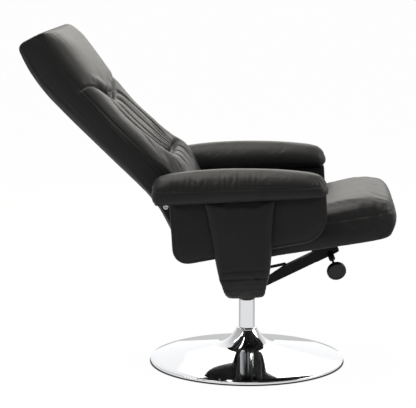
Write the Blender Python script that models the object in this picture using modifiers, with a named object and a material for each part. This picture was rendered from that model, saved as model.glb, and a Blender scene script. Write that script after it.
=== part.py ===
"""Swivel recliner: padded back, seat and arms on a bent U-shaped frame over a round chrome pedestal.

Metres, +Z up. The origin is the floor point under the column, the sitter faces -Y and -X is
the sitter's right. The modelled pose is the fully reclined one.
"""

import math

import bmesh
import bpy
from mathutils import Matrix, Vector

# Fits
GAP = 0.0003
RUNNING_GAP = 0.0005
WELD = 0.00001
CUTTER_REACH = 0.1
AXIS_MARK = 0.05
HARD_EDGE = math.radians(35)

# Main sizes that the rest is set out from
FRAME_HEIGHT = 0.2565
SEAT_HALF_WIDTH = 0.255

# Pedestal
BASE_RADIUS = 0.290
PAD_INSET = 0.004
PAD_THICKNESS = 0.003
WEIGHT_RADIUS = 0.255
WEIGHT_THICKNESS = 0.006
DISH_SHEET = 0.0015
DISH_RIM = 0.0065
DISH_RISE = 0.056
DISH_RINGS = 11
DISH_CROWDING = 1.9
BELL_RADIUS = 0.031
BELL_HEIGHT = 0.0373
BELL_REACH = 0.056
COLLAR_HEIGHT = 0.006
COLLAR_LIP = 0.003
FLANGE_RADIUS = 0.055
FLANGE_THICKNESS = 0.005
FLANGE_BOLTS = 4
FLANGE_BOLT_CIRCLE = 0.040
COLUMN_RADIUS = 0.024
COLUMN_WALL = 0.0028
HOUSING_DROP = 0.0665
COLUMN_TOP = FRAME_HEIGHT - HOUSING_DROP

# Swivel
SPINDLE_RADIUS = 0.014
BUSH_LENGTH = 0.026
BUSH_FLANGE = 0.006
CLIP_THICKNESS = 0.003
CLIP_WIDTH = 0.004
HOUSING_RADIUS = 0.0245

# Bolts
BOLT_RADIUS = 0.004
BOLT_HEAD_RADIUS = 0.0065
BOLT_HEAD_HEIGHT = 0.0055

# Bent frame, in its own pitched axes
FRAME_PITCH = math.radians(3.5)
FRAME_OFFSET = -0.007
SEAT_SIDE_GAP = 0.0167
PANEL_THICKNESS = 0.028
LEG_THICKNESS = 0.030
LEG_OUTER = SEAT_HALF_WIDTH + SEAT_SIDE_GAP + PANEL_THICKNESS + GAP + LEG_THICKNESS
LEG_BEND = 0.062
LEG_TOP_WIDTH = 0.202
LEG_FOOT_WIDTH = 0.102
LEG_EDGE = 0.007
LEG_FLARE = 1.3
LEG_CREASE = math.radians(50)
ARM_LEVEL = 0.284
PLATE_THICKNESS = 0.006
PLATE_LENGTH = 0.170
PLATE_WIDTH = 0.076
FRAME_BOLT_X = 0.060
FRAME_BOLT_Y = 0.026

# Arms and side panels
ARM_SETBACK = 0.021
ARM_CENTRE = LEG_OUTER - ARM_SETBACK
ARM_WIDTH = 0.112
ARM_HEIGHT = 0.088
ARM_FRONT = -0.2566
ARM_REAR = 0.239
ARM_ROUND = 0.036
ARM_CROWN = 0.014
ARM_CREST = 0.35
ARM_SEAM = 0.5
ARM_PLAN_POWER = 7.0
SEAM_DRAW = 0.003
ARM_BOARD_WIDTH = 0.084
ARM_BOARD_THICKNESS = 0.015
ARM_BOARD_INSET_FRONT = 0.030
ARM_BOARD_INSET_REAR = 0.012
PANEL_EDGE = 0.006
PANEL_REAR = 0.192
PANEL_FRONT = -0.248
PANEL_REAR_DEPTH = 0.185
PANEL_FRONT_DEPTH = 0.127
PANEL_REAR_CORNER = 0.042
PANEL_FRONT_CORNER = 0.078

# Recline pivot and the back that swings on it
PIVOT_Y = 0.220
PIVOT_RISE = 0.2535
PIVOT_Z = FRAME_HEIGHT + PIVOT_RISE
RECLINE_RANGE = math.radians(26)
BACK_STEP = 0.012
BACK_HALF_WIDTH = SEAT_HALF_WIDTH - BACK_STEP
BACK_FOOT_Y = -0.0337
BACK_FOOT_Z = -0.1096
BACK_LOWER = 0.139
BACK_MAIN = 0.479
BACK_LENGTH = 0.724
LOWER_TILT = math.radians(30)
MAIN_TILT = math.radians(45)
HEAD_TILT = math.radians(27.5)
LOWER_BEND = 0.122
HEAD_BEND = 0.200
BACK_BENDS = 13
BACK_LINE_STEPS = 48
BACK_CORNER = 0.026
SHELL_DEPTH = 0.080
BOARD_DEPTH = 0.062
BOARD_THICKNESS = 0.015
BOARD_INSET = 0.031
BOARD_HALF_WIDTH = BACK_HALF_WIDTH - BOARD_INSET
BOARD_TAIL = 0.030
FOAM_WALL = 0.022
FOAM_SETBACK = 0.010
CUSHION_EDGE = 0.007
FOOT_SWELL = 0.118
LUMBAR_STATION = 0.120
LUMBAR_SWELL = 0.124
WAIST_STATION = 0.355
WAIST_SWELL = 0.101
HEAD_STATION = 0.605
HEAD_SWELL = 0.132
ROLL_START = 0.72
PANEL_RECESS = 0.010
PANEL_SLOPE = 0.20
CHANNEL_PITCH = 0.275
CHANNEL_PAIRS = 2
CHANNEL_DEPTH = 0.009
PLEAT_SHARE = 0.5
TUCK_DEPTH = 0.011
TUCK_SHARE = 0.45
TUCK_WIDTH = 0.03
FOOT_ROLL = 0.06
FOOT_RISE = 0.45
SEAM_ROLL = 0.03
SEAM_RISE = 0.55
PILLOW_SIDE = 0.508
PILLOW_TIP = 0.437
PILLOW_CURVE = 1.3
PILLOW_ROLL = 0.06
PILLOW_RISE = 0.65
PILLOW_TOP_ROLL = 0.32
PILLOW_SEAM = 0.2
PIVOT_PLATE = 0.004
PIVOT_WASHER = 0.0027
PIVOT_BOLT_RADIUS = 0.005
PIVOT_HEAD_RADIUS = 0.008
PIVOT_HEAD_HEIGHT = 0.008
PIVOT_HEAD_EDGE = 0.001
PIVOT_SOCKET_RADIUS = 0.004
PIVOT_SOCKET_DEPTH = 0.004
PIVOT_EAR_RADIUS = 0.019
PIVOT_EAR_LOW = 0.040
PIVOT_EAR_HIGH = 0.112
PIVOT_EAR_DEPTH = 0.031
BRACKET_FOOT = 0.019
PIVOT_EYE = 0.012

# Glide rail, with the link that ties the seat to the back
RAIL_SLOPE = math.radians(26.7)
RAIL_DROP = 0.0544
RAIL_HEIGHT = FRAME_HEIGHT - RAIL_DROP
RAIL_REACH = 0.307
RAIL_TALL = 0.030
RAIL_ROOT_TALL = 0.017
RAIL_TAPER_START = 0.145
RAIL_TAPER_END = 0.055
RAIL_WIDTH = 0.030
RAIL_WALL = 0.003
LINK_LENGTH = 0.135
LINK_ROD_RADIUS = 0.005
LINK_EYE = 0.012
LUG_THICKNESS = 0.005
HOOK_INSET = 0.042
HOOK_X = BOARD_HALF_WIDTH - HOOK_INSET
HOOK_BAR = 0.007
HOOK_REACH = 0.090
HOOK_CLEARANCE = 0.0015
BRACE_RADIUS = 0.0045
BRACE_X = 0.070

# Seat, in its own tilted axes
SEAT_TILT = math.radians(9.3)
SEAT_Y = -0.059
SEAT_RISE = 0.1075
SEAT_Z = FRAME_HEIGHT + SEAT_RISE
SEAT_FRONT = -0.394
SEAT_REAR = 0.132
SEAT_HEIGHT = 0.121
SEAT_FALL = 0.032
SEAT_DISH = 0.006
SEAT_CREST = 0.62
SEAT_NOSE = 0.052
SEAT_ROUND = 0.030
SEAT_BACK_ROUND = 0.018
SEAT_UNDER = 0.036
SEAT_SEAM = 0.4
SEAT_PLAN_POWER = 11.0
SEAT_BOARD_THICKNESS = 0.015
SEAT_BOARD_INSET = 0.032
SEAT_BOARD_FRONT = -0.330
SEAT_BOARD_REAR = 0.062
SEAT_FOAM_HEIGHT = 0.050
SEAT_FOAM_INSET = 0.012

# Shoe on the rail, clamp screw and knob
SHOE_FRONT = 0.300
SHOE_LENGTH = 0.066
SHOE_WALL = 0.0045
SHOE_LOW = 0.0
KEEPER_RADIUS = 0.0035
KEEPER_HEIGHT = 0.013
KEEPER_SETBACK = 0.050
KNOB_SETBACK = 0.020
KNOB_TILT = math.radians(25)
KNOB_HEIGHT = 0.0065
BOSS_RADIUS = 0.0095
BOSS_LENGTH = 0.030
SCREW_RADIUS = 0.004
SCREW_LENGTH = 0.094
KNOB_RADIUS = 0.0285
KNOB_THICKNESS = 0.018
KNOB_EDGE = 0.005

# Finishes: colour, roughness, metallic
LEATHER = ((0.020, 0.019, 0.019, 1.0), 0.42, 0.0)
CHROME = ((0.80, 0.80, 0.82, 1.0), 0.06, 1.0)
STEEL = ((0.50, 0.50, 0.51, 1.0), 0.30, 1.0)
BLACK_STEEL = ((0.018, 0.018, 0.019, 1.0), 0.40, 0.0)
IRON = ((0.08, 0.08, 0.08, 1.0), 0.60, 0.0)
PLY = ((0.42, 0.29, 0.17, 1.0), 0.60, 0.0)
FOAM = ((0.75, 0.70, 0.55, 1.0), 0.90, 0.0)
NYLON = ((0.03, 0.03, 0.03, 1.0), 0.50, 0.0)
RUBBER = ((0.02, 0.02, 0.02, 1.0), 0.85, 0.0)

for leftover in list(bpy.data.objects):
    bpy.data.objects.remove(leftover)

parts = bpy.data.collections.new("recliner")
cutters = bpy.data.collections.new("recliner_cutters")
bpy.context.scene.collection.children.link(parts)
bpy.context.scene.collection.children.link(cutters)


def empty(name, location, pitch=0.0, parent=None):
    """An axis or set of axes that pieces hang on, with its front raised by the pitch."""
    made = bpy.data.objects.new(name, None)
    made.empty_display_size = AXIS_MARK
    made.location = location
    made.rotation_euler = (-pitch, 0.0, 0.0)
    made.parent = parent
    parts.objects.link(made)
    return made


def paint(obj, finish):
    colour, roughness, metallic = finish
    material = bpy.data.materials.new(obj.name)
    material.use_nodes = True
    shader = material.node_tree.nodes["Principled BSDF"]
    shader.inputs["Base Color"].default_value = colour
    shader.inputs["Roughness"].default_value = roughness
    shader.inputs["Metallic"].default_value = metallic
    obj.data.materials.append(material)


def keep(obj, finish, parent):
    """Puts a finished piece into the recliner, shaded smooth but for the hard edges of firm pieces."""
    obj.data.shade_smooth()
    if "soft" not in obj.modifiers:
        obj.data.set_sharp_from_angle(angle=HARD_EDGE)
    obj.parent = parent
    parts.objects.link(obj)
    paint(obj, finish)
    return obj


def helper(obj, parent):
    """Puts a cutter, or a shape to be joined, out of the render."""
    obj.parent = parent
    obj.hide_render = True
    obj.display_type = "WIRE"
    cutters.objects.link(obj)
    return obj


def boolean(obj, other, operation="DIFFERENCE"):
    modifier = obj.modifiers.new(other.name, "BOOLEAN")
    modifier.operation = operation
    modifier.solver = "EXACT"
    modifier.object = other


def mesh_object(name, shape):
    """A mesh object from a bmesh, with its faces turned outwards."""
    bmesh.ops.recalc_face_normals(shape, faces=shape.faces[:])
    mesh = bpy.data.meshes.new(name)
    shape.to_mesh(mesh)
    shape.free()
    return bpy.data.objects.new(name, mesh)


def cage(name, stations, place, levels=0):
    """A cube from -1 to 1, cut across at the stations of each axis, with its points moved by place."""
    shape = bmesh.new()
    bmesh.ops.create_cube(shape, size=2.0)
    for axis, cuts in enumerate(stations):
        normal = Vector((axis == 0, axis == 1, axis == 2))
        for cut in cuts:
            geometry = shape.verts[:] + shape.edges[:] + shape.faces[:]
            bmesh.ops.bisect_plane(shape, geom=geometry, plane_co=normal * cut, plane_no=normal)
    for vertex in shape.verts:
        vertex.co = place(*vertex.co)
    if not levels:
        bmesh.ops.triangulate(shape, faces=shape.faces[:])
    obj = mesh_object(name, shape)
    if levels:
        soft = obj.modifiers.new("soft", "SUBSURF")
        soft.levels = levels
        soft.render_levels = levels
        obj.modifiers.new("facets", "TRIANGULATE")
    return obj


def box(name, low, high):
    """A plain box between two opposite corners."""
    def place(*point):
        return [a + (b - a) * (p + 1) / 2 for a, b, p in zip(low, high, point)]

    return cage(name, ((), (), ()), place)


def turned(name, profile, closed=True, steps=24):
    """A profile of (radius, height) points, run down its outer side, turned about Z."""
    mesh = bpy.data.meshes.new(name)
    edges = [(i, i + 1) for i in range(len(profile) - 1)]
    if closed:
        edges.append((len(profile) - 1, 0))
    mesh.from_pydata([(radius, 0.0, height) for radius, height in profile], edges, [])
    obj = bpy.data.objects.new(name, mesh)
    lathe = obj.modifiers.new("lathe", "SCREW")
    lathe.axis = "Z"
    lathe.steps = steps
    lathe.render_steps = steps
    lathe.use_merge_vertices = True
    lathe.merge_threshold = WELD
    return obj


def ring(name, outer, inner, low, high, steps=32):
    profile = [(outer, high), (outer, low), (inner, low), (inner, high)]
    return turned(name, profile, steps=steps)


def disc(name, radius, low, high, steps=24):
    profile = [(0.0, high), (radius, high), (radius, low), (0.0, low)]
    return turned(name, profile, closed=False, steps=steps)


def bolt(name, length):
    """A cap-head bolt: its head stands on z = 0 and its shank hangs below."""
    profile = [
        (0.0, BOLT_HEAD_HEIGHT),
        (BOLT_HEAD_RADIUS, BOLT_HEAD_HEIGHT),
        (BOLT_HEAD_RADIUS, 0.0),
        (BOLT_RADIUS, 0.0),
        (BOLT_RADIUS, -length),
        (0.0, -length),
    ]
    return turned(name, profile, closed=False, steps=16)


def plate(name, outline, x_centre, thickness, edge=0.0):
    """A flat outline of (y, z) points, extruded along X, with its rims rounded by the edge radius."""
    curve = bpy.data.curves.new(name, "CURVE")
    curve.dimensions = "2D"
    curve.fill_mode = "BOTH"
    curve.extrude = thickness / 2 - edge
    curve.bevel_depth = edge
    curve.bevel_resolution = 1
    curve.offset = -edge
    spline = curve.splines.new("POLY")
    spline.points.add(len(outline) - 1)
    for point, (y, z) in zip(spline.points, outline):
        point.co = (y, z, 0.0, 1.0)
    spline.use_cyclic_u = True
    flat = bpy.data.objects.new(name, curve)
    parts.objects.link(flat)
    bpy.context.view_layer.update()
    evaluated = flat.evaluated_get(bpy.context.evaluated_depsgraph_get())
    mesh = bpy.data.meshes.new_from_object(evaluated)
    bpy.data.objects.remove(flat)
    shape = bmesh.new()
    shape.from_mesh(mesh)
    bmesh.ops.remove_doubles(shape, verts=shape.verts[:], dist=WELD)
    # The curve lies in XY: its X becomes Y, its Y becomes Z and its thickness X.
    stand = Matrix(((0, 0, 1, x_centre), (1, 0, 0, 0), (0, 1, 0, 0), (0, 0, 0, 1)))
    bmesh.ops.transform(shape, matrix=stand, verts=shape.verts[:])
    bpy.data.meshes.remove(mesh)
    return mesh_object(name, shape)


def arc(centre, radius, start, end, count):
    """Points along an arc, with angles from +Y towards +Z."""
    angles = [start + (end - start) * i / count for i in range(count + 1)]
    return [(centre[0] + radius * math.cos(a), centre[1] + radius * math.sin(a)) for a in angles]


def capsule(first, second, radius, second_radius=None):
    """The outline of a strap with a round end at each of two (y, z) points."""
    second_radius = second_radius or radius
    along = math.atan2(second[1] - first[1], second[0] - first[0])
    half = math.pi / 2
    return arc(first, radius, along + half, along + 3 * half, 8) + arc(
        second, second_radius, along - half, along + half, 8
    )


def rounded(corners):
    """An outline from (y, z, radius) corners, each corner turned into an arc of that radius."""
    outline = []
    for i, (y, z, radius) in enumerate(corners):
        here = Vector((y, z))
        if not radius:
            outline.append((y, z))
            continue
        before = (Vector(corners[i - 1][:2]) - here).normalized()
        after = (Vector(corners[(i + 1) % len(corners)][:2]) - here).normalized()
        half = before.angle(after) / 2
        centre = here + (before + after).normalized() * (radius / math.sin(half))
        start = here + before * (radius / math.tan(half)) - centre
        end = here + after * (radius / math.tan(half)) - centre
        turn = end.angle_signed(start)
        first = math.atan2(start.y, start.x)
        outline += arc(centre, radius, first, first + turn, 5)
    return outline


def rod(name, start, end, radius, sides=16):
    """A round bar between two points."""
    shape = bmesh.new()
    along = Vector(end) - Vector(start)
    turn = along.to_track_quat("Z", "Y").to_matrix().to_4x4()
    middle = Matrix.Translation((Vector(start) + Vector(end)) / 2)
    bmesh.ops.create_cone(
        shape, cap_ends=True, segments=sides, radius1=radius, radius2=radius,
        depth=along.length, matrix=middle @ turn,
    )
    return mesh_object(name, shape)


def fit(obj, low, high):
    """Scales a soft piece's cage so that its subdivided surface fills the box from low to high."""
    bpy.context.view_layer.update()
    shown = obj.evaluated_get(bpy.context.evaluated_depsgraph_get())
    corners = [Vector(corner) for corner in shown.bound_box]
    least = [min(corner[i] for corner in corners) for i in range(3)]
    most = [max(corner[i] for corner in corners) for i in range(3)]
    scale = [(high[i] - low[i]) / (most[i] - least[i]) for i in range(3)]
    move = Matrix.Diagonal((*scale, 1.0))
    move.translation = [low[i] - least[i] * scale[i] for i in range(3)]
    obj.data.transform(move)


def smooth(value):
    """Rises gently from 0 to 1 as the value does."""
    value = min(max(value, 0.0), 1.0)
    return value * value * (3 - 2 * value)


def mix(first, second, share):
    return first + (second - first) * share


def squircle(point, power):
    """A point of the square moved onto a rounded square of that power."""
    size = sum(abs(p) ** power for p in point) ** (1 / power)
    reach = max(abs(p) for p in point)
    return [p * reach / size if size else 0.0 for p in point]


def edge_drop(distances, radius):
    """How far padding falls, with its edges that far away, along a rounding of that radius."""
    inside = sum(max(radius - distance, 0.0) ** 2 for distance in distances)
    return radius - math.sqrt(max(radius**2 - inside, 0.0))


def round_cuts(share):
    """Cuts from -1 to 1 that follow a rounding over that share of each end."""
    return [side * (1 - share * part) for side in (-1, 1) for part in (1.0, 0.3)]


SIDES = {"right": -1, "left": 1}

# Axes that the pieces hang on
swivel_axis = empty("swivel_axis", (0, 0, 0))
arm_frame = empty("arm_frame", (0, 0, FRAME_HEIGHT), FRAME_PITCH, swivel_axis)
rail_frame = empty("rail_frame", (0, 0, RAIL_HEIGHT), RAIL_SLOPE, swivel_axis)
recline_axis = empty("recline_axis", (0, PIVOT_Y, PIVOT_Z), 0.0, swivel_axis)
seat_glide = empty("seat_glide", (0, SEAT_Y, SEAT_Z), SEAT_TILT, swivel_axis)

# Floor pad and ballast plate
pad_radius = BASE_RADIUS - PAD_INSET
keep(disc("floor_pad", pad_radius, 0.0, PAD_THICKNESS, steps=56), RUBBER, None)
weight_low = PAD_THICKNESS + GAP
weight_high = weight_low + WEIGHT_THICKNESS
weight = keep(disc("base_weight", WEIGHT_RADIUS, weight_low, weight_high, steps=48), IRON, None)

# Chrome dish: a shallow cone that sweeps up into a bell round the column
rim_low = PAD_THICKNESS + GAP


def dish_height(radius):
    radius = max(radius, BELL_RADIUS)
    cone = DISH_RISE * (1 - radius / BASE_RADIUS)
    bell = BELL_HEIGHT * max(1 - (radius - BELL_RADIUS) / BELL_REACH, 0.0) ** 2
    return rim_low + DISH_RIM + cone + bell


collar_low = dish_height(BELL_RADIUS) + GAP
neck_radius = COLUMN_RADIUS + COLLAR_LIP
ring_shares = [(i / DISH_RINGS) ** DISH_CROWDING for i in range(DISH_RINGS + 1)]
radii = [mix(neck_radius, BASE_RADIUS, share) for share in ring_shares]
dish_profile = [(radius, dish_height(radius)) for radius in radii]
dish_profile.append((BASE_RADIUS, rim_low))
dish_profile.append((BASE_RADIUS - DISH_SHEET, rim_low))
dish_profile += [
    (min(radius, BASE_RADIUS - DISH_SHEET), dish_height(radius) - DISH_SHEET) for radius in radii[::-1]
]
keep(turned("base_dish", dish_profile, steps=48), CHROME, None)

# Column, its bolted foot flange and the collar that closes the dish's neck
flange_low = weight_high + GAP
flange_high = flange_low + FLANGE_THICKNESS
flange = keep(disc("column_flange", FLANGE_RADIUS, flange_low, flange_high, steps=32), STEEL, None)
for i in range(FLANGE_BOLTS):
    angle = 2 * math.pi * (i + 0.5) / FLANGE_BOLTS
    spot = (FLANGE_BOLT_CIRCLE * math.cos(angle), FLANGE_BOLT_CIRCLE * math.sin(angle), flange_high + GAP)
    fastener = bolt(f"flange_bolt_{i + 1}", FLANGE_THICKNESS + WEIGHT_THICKNESS - GAP)
    fastener.location = spot
    keep(fastener, STEEL, None)
    hole = disc(f"flange_hole_{i + 1}", BOLT_RADIUS + GAP, -CUTTER_REACH, CUTTER_REACH, steps=16)
    hole.location = spot
    helper(hole, None)
    boolean(flange, hole)
    boolean(weight, hole)
column_low = flange_high + GAP
bore = COLUMN_RADIUS - COLUMN_WALL
keep(ring("column_tube", COLUMN_RADIUS, bore, column_low, COLUMN_TOP, steps=40), CHROME, None)
collar_profile = [
    (COLUMN_RADIUS + COLLAR_LIP, collar_low + COLLAR_HEIGHT),
    (BELL_RADIUS, collar_low + COLLAR_HEIGHT / 2),
    (BELL_RADIUS, collar_low),
    (COLUMN_RADIUS + GAP, collar_low),
    (COLUMN_RADIUS + GAP, collar_low + COLLAR_HEIGHT),
]
keep(turned("column_collar", collar_profile, steps=40), CHROME, None)

# Swivel bearing: two nylon bushes in the column and the spindle that turns in them
sleeve = bore - GAP
spindle_bore = SPINDLE_RADIUS + RUNNING_GAP
bush_low = column_low + CLIP_THICKNESS + 2 * RUNNING_GAP
keep(ring("lower_bush", sleeve, spindle_bore, bush_low, bush_low + BUSH_LENGTH), NYLON, None)
bush_rim = COLUMN_TOP + GAP
bush_top = bush_rim + BUSH_FLANGE
bush_profile = [
    (HOUSING_RADIUS, bush_top),
    (HOUSING_RADIUS, bush_rim),
    (sleeve, bush_rim),
    (sleeve, COLUMN_TOP - BUSH_LENGTH),
    (spindle_bore, COLUMN_TOP - BUSH_LENGTH),
    (spindle_bore, bush_top),
]
keep(turned("upper_bush", bush_profile, steps=32), NYLON, None)
clip_low = column_low + RUNNING_GAP
clip_high = clip_low + CLIP_THICKNESS
clip = ring("spindle_clip", SPINDLE_RADIUS + CLIP_WIDTH, SPINDLE_RADIUS + GAP, clip_low, clip_high)
keep(clip, STEEL, swivel_axis)
plate_low = FRAME_HEIGHT - GAP - PLATE_THICKNESS
spindle_high = plate_low - PLATE_WIDTH * math.sin(FRAME_PITCH)
keep(disc("swivel_spindle", SPINDLE_RADIUS, clip_low, spindle_high, steps=32), STEEL, swivel_axis)
housing_low = bush_top + RUNNING_GAP
housing = ring("swivel_housing", HOUSING_RADIUS, SPINDLE_RADIUS + GAP, housing_low, FRAME_HEIGHT)
keep(housing, BLACK_STEEL, swivel_axis)
above_plate = (PLATE_LENGTH, PLATE_LENGTH, PLATE_LENGTH)
plate_space = box("plate_space", (-PLATE_LENGTH, -PLATE_LENGTH, -PLATE_THICKNESS - 2 * GAP), above_plate)
boolean(housing, helper(plate_space, arm_frame))

# Swivel plate below the bent frame and clamp plate above it
half_length = PLATE_LENGTH / 2
half_width = PLATE_WIDTH / 2
clamp_low = LEG_THICKNESS + GAP
clamp_high = clamp_low + PLATE_THICKNESS
swivel_plate = box(
    "swivel_plate", (-half_length, -half_width, -GAP - PLATE_THICKNESS), (half_length, half_width, -GAP)
)
keep(swivel_plate, BLACK_STEEL, arm_frame)
clamp_plate = box(
    "clamp_plate", (-half_length, -half_width, clamp_low), (half_length, half_width, clamp_high)
)
keep(clamp_plate, BLACK_STEEL, arm_frame)

# Legs: each half of the bent frame runs up from the middle, round its bend, to the arm
leg_top = ARM_LEVEL - GAP
limb_end = LEG_OUTER - LEG_BEND
bend_middle = LEG_BEND - LEG_THICKNESS / 2


def leg_point(side, share, across, width):
    """share runs 0..1 along the limb, 1..2 round the bend and 2..3 up to the arm."""
    depth = LEG_THICKNESS / 2 * across
    radius = bend_middle + depth
    if share <= 1:
        x, z = mix(GAP, limb_end, share), LEG_BEND - radius
    elif share <= 2:
        angle = (share - 1) * math.pi / 2
        x, z = limb_end + radius * math.sin(angle), LEG_BEND - radius * math.cos(angle)
    else:
        x, z = limb_end + radius, mix(LEG_BEND, leg_top, share - 2)
    rise = max(share - 1, 0) / 2
    half = mix(LEG_FOOT_WIDTH, LEG_TOP_WIDTH, rise**LEG_FLARE) / 2
    return side * x, FRAME_OFFSET + half * width, z


for name, side in SIDES.items():
    leg_cuts = ([], [mix(-1 / 3, 1 / 3, i / 5) for i in range(6)] + [2 / 3], [])
    leg = cage(
        f"leg_{name}", leg_cuts, lambda a, b, c, s=side: leg_point(s, 1.5 * (b + 1), a, c)
    )
    soften = leg.modifiers.new("edges", "BEVEL")
    soften.width = LEG_EDGE
    soften.segments = 2
    soften.limit_method = "ANGLE"
    soften.angle_limit = LEG_CREASE
    keep(leg, LEATHER, arm_frame)
    for end, y in (("front", -FRAME_BOLT_Y), ("rear", FRAME_BOLT_Y)):
        spot = (side * FRAME_BOLT_X, y, clamp_high + GAP)
        fastener = bolt(f"frame_bolt_{end}_{name}", clamp_high + 2 * GAP + PLATE_THICKNESS)
        fastener.location = spot
        keep(fastener, STEEL, arm_frame)
        hole = disc(f"frame_hole_{end}_{name}", BOLT_RADIUS + GAP, -CUTTER_REACH, CUTTER_REACH, steps=16)
        hole.location = spot
        helper(hole, arm_frame)
        for drilled in (leg, swivel_plate, clamp_plate):
            boolean(drilled, hole)

# Arms: a board under each pad, and a padded panel that closes the side below it
board_low = ARM_LEVEL
board_high = board_low + ARM_BOARD_THICKNESS
panel_x = LEG_OUTER - LEG_THICKNESS - GAP - PANEL_THICKNESS / 2
arm_half = ARM_WIDTH / 2
arm_reach = (ARM_REAR - ARM_FRONT) / 2


def arm_pad_point(a, b, c):
    """Rounded over the top and ends, with a slight crown along it, and drawn in along its seam."""
    x, y = squircle((a, b), ARM_PLAN_POWER)
    edges = ((1 - abs(a)) * arm_half, (1 - abs(b)) * arm_reach)
    top = ARM_HEIGHT - ARM_CROWN * (b - ARM_CREST) ** 2 - edge_drop(edges, ARM_ROUND)
    drawn = SEAM_DRAW if abs(c) < 1 else 0.0
    return x * (arm_half - drawn), y * (arm_reach - drawn), mix(0.0, top, (c + 1) / 2)


for name, side in SIDES.items():
    centre = side * ARM_CENTRE
    pad_columns = round_cuts(ARM_ROUND / arm_half)
    pad_rows = round_cuts(ARM_ROUND / arm_reach) + [-0.4, 0.0, 0.4]
    pad = cage(f"arm_pad_{name}", (pad_columns, pad_rows, [ARM_SEAM]), arm_pad_point, levels=1)
    low = (centre - arm_half, ARM_FRONT, ARM_LEVEL)
    fit(pad, low, (centre + arm_half, ARM_REAR, ARM_LEVEL + ARM_HEIGHT))
    keep(pad, LEATHER, arm_frame)
    board_half = ARM_BOARD_WIDTH / 2
    board_front = ARM_FRONT + ARM_BOARD_INSET_FRONT
    board_rear = ARM_REAR - ARM_BOARD_INSET_REAR
    low = Vector((centre - board_half, board_front, board_low))
    high = Vector((centre + board_half, board_rear, board_high))
    keep(box(f"arm_board_{name}", low, high), PLY, arm_frame)
    spare = Vector((GAP, GAP, GAP))
    deep = Vector((0.0, 0.0, ARM_HEIGHT))
    boolean(pad, helper(box(f"arm_pocket_{name}", low - spare - deep, high + spare), arm_frame))
    outline = rounded([
        (PANEL_REAR, leg_top, 0.0),
        (PANEL_REAR, leg_top - PANEL_REAR_DEPTH, PANEL_REAR_CORNER),
        (PANEL_FRONT, leg_top - PANEL_FRONT_DEPTH, PANEL_FRONT_CORNER),
        (PANEL_FRONT, leg_top, 0.0),
    ])
    panel = plate(f"side_panel_{name}", outline, side * panel_x, PANEL_THICKNESS, PANEL_EDGE)
    keep(panel, LEATHER, arm_frame)


# Back: stations along its rear line and depth forward from it, measured from the recline pivot
def back_tilt(station):
    lower = smooth((station - BACK_LOWER) / LOWER_BEND + 0.5)
    upper = smooth((station - BACK_LOWER - BACK_MAIN) / HEAD_BEND + 0.5)
    return mix(mix(LOWER_TILT, MAIN_TILT, lower), HEAD_TILT, upper)


def back_point(x, station, depth):
    y, z = BACK_FOOT_Y, BACK_FOOT_Z
    step = station / BACK_LINE_STEPS
    for i in range(BACK_LINE_STEPS):
        tilt = back_tilt(step * (i + 0.5))
        y += math.sin(tilt) * step
        z += math.cos(tilt) * step
    tilt = back_tilt(station)
    return x, y - math.cos(tilt) * depth, z + math.sin(tilt) * depth


def swell(station):
    """How far the front of the padding stands from the rear line along its crests."""
    marks = (
        (0.0, FOOT_SWELL), (LUMBAR_STATION, LUMBAR_SWELL), (WAIST_STATION, WAIST_SWELL),
        (HEAD_STATION, HEAD_SWELL),
    )
    for (low, first), (high, second) in zip(marks, marks[1:]):
        if station <= high:
            return mix(first, second, smooth((station - low) / (high - low)))
    return HEAD_SWELL


def pillow_edge(across):
    """The station of the seam below the head pillow, lowest in the middle."""
    return mix(PILLOW_TIP, PILLOW_SIDE, abs(across) ** PILLOW_CURVE)


def corner_lift(distance):
    """How far a quarter round of the back's corner has risen, that far from the flat."""
    inside = min(max(distance, 0.0), BACK_CORNER)
    return BACK_CORNER - math.sqrt(BACK_CORNER**2 - inside**2)


def shell_point(a, b, c):
    x = a * BACK_HALF_WIDTH
    station = BACK_LENGTH * (b + 1) / 2
    rear = corner_lift(abs(x) - BACK_HALF_WIDTH + BACK_CORNER)
    rear = max(rear, corner_lift(station - BACK_LENGTH + BACK_CORNER))
    return back_point(x, station, rear if c < 0 else SHELL_DEPTH)


def stations_between(ends):
    """The stations where every curved piece of the back bends, as shares from -1 to 1 of its own length."""
    bends = [(BACK_LENGTH - BACK_CORNER) * i / BACK_BENDS for i in range(BACK_BENDS + 1)]
    return [2 * (bend - ends[0]) / (ends[1] - ends[0]) - 1 for bend in bends if ends[0] < bend < ends[1]]


def slab(name, half, ends, depths):
    """A curved slab inside the back, of that half width, between two stations and two depths."""
    def place(a, b, c):
        return back_point(a * half, mix(*ends, (b + 1) / 2), mix(*depths, (c + 1) / 2))

    return cage(name, ([], stations_between(ends), []), place)


flat_share = 1 - BACK_CORNER / BACK_HALF_WIDTH
round_shares = [mix(flat_share, 1.0, math.sin(math.radians(angle))) for angle in (0, 30, 60)]
side_cuts = [-share for share in round_shares] + round_shares
end_share = 1 - 2 * BACK_CORNER / BACK_LENGTH
end_cuts = [mix(end_share, 1.0, math.sin(math.radians(angle))) for angle in (30, 60)]
length_cuts = stations_between((0.0, BACK_LENGTH)) + end_cuts
shell = keep(cage("back_shell", (side_cuts, length_cuts, []), shell_point), LEATHER, recline_axis)
board_top = BACK_LENGTH - FOAM_WALL
board_front = BOARD_DEPTH + BOARD_THICKNESS
foam_half = BOARD_HALF_WIDTH - FOAM_SETBACK
foam_top = board_top - FOAM_SETBACK
board = keep(
    slab("back_board", BOARD_HALF_WIDTH, (-BOARD_TAIL, board_top), (BOARD_DEPTH, board_front)),
    PLY, recline_axis,
)
keep(
    slab("back_foam", foam_half, (FOAM_WALL, foam_top), (FOAM_WALL, BOARD_DEPTH - GAP)),
    FOAM, recline_axis,
)
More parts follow.
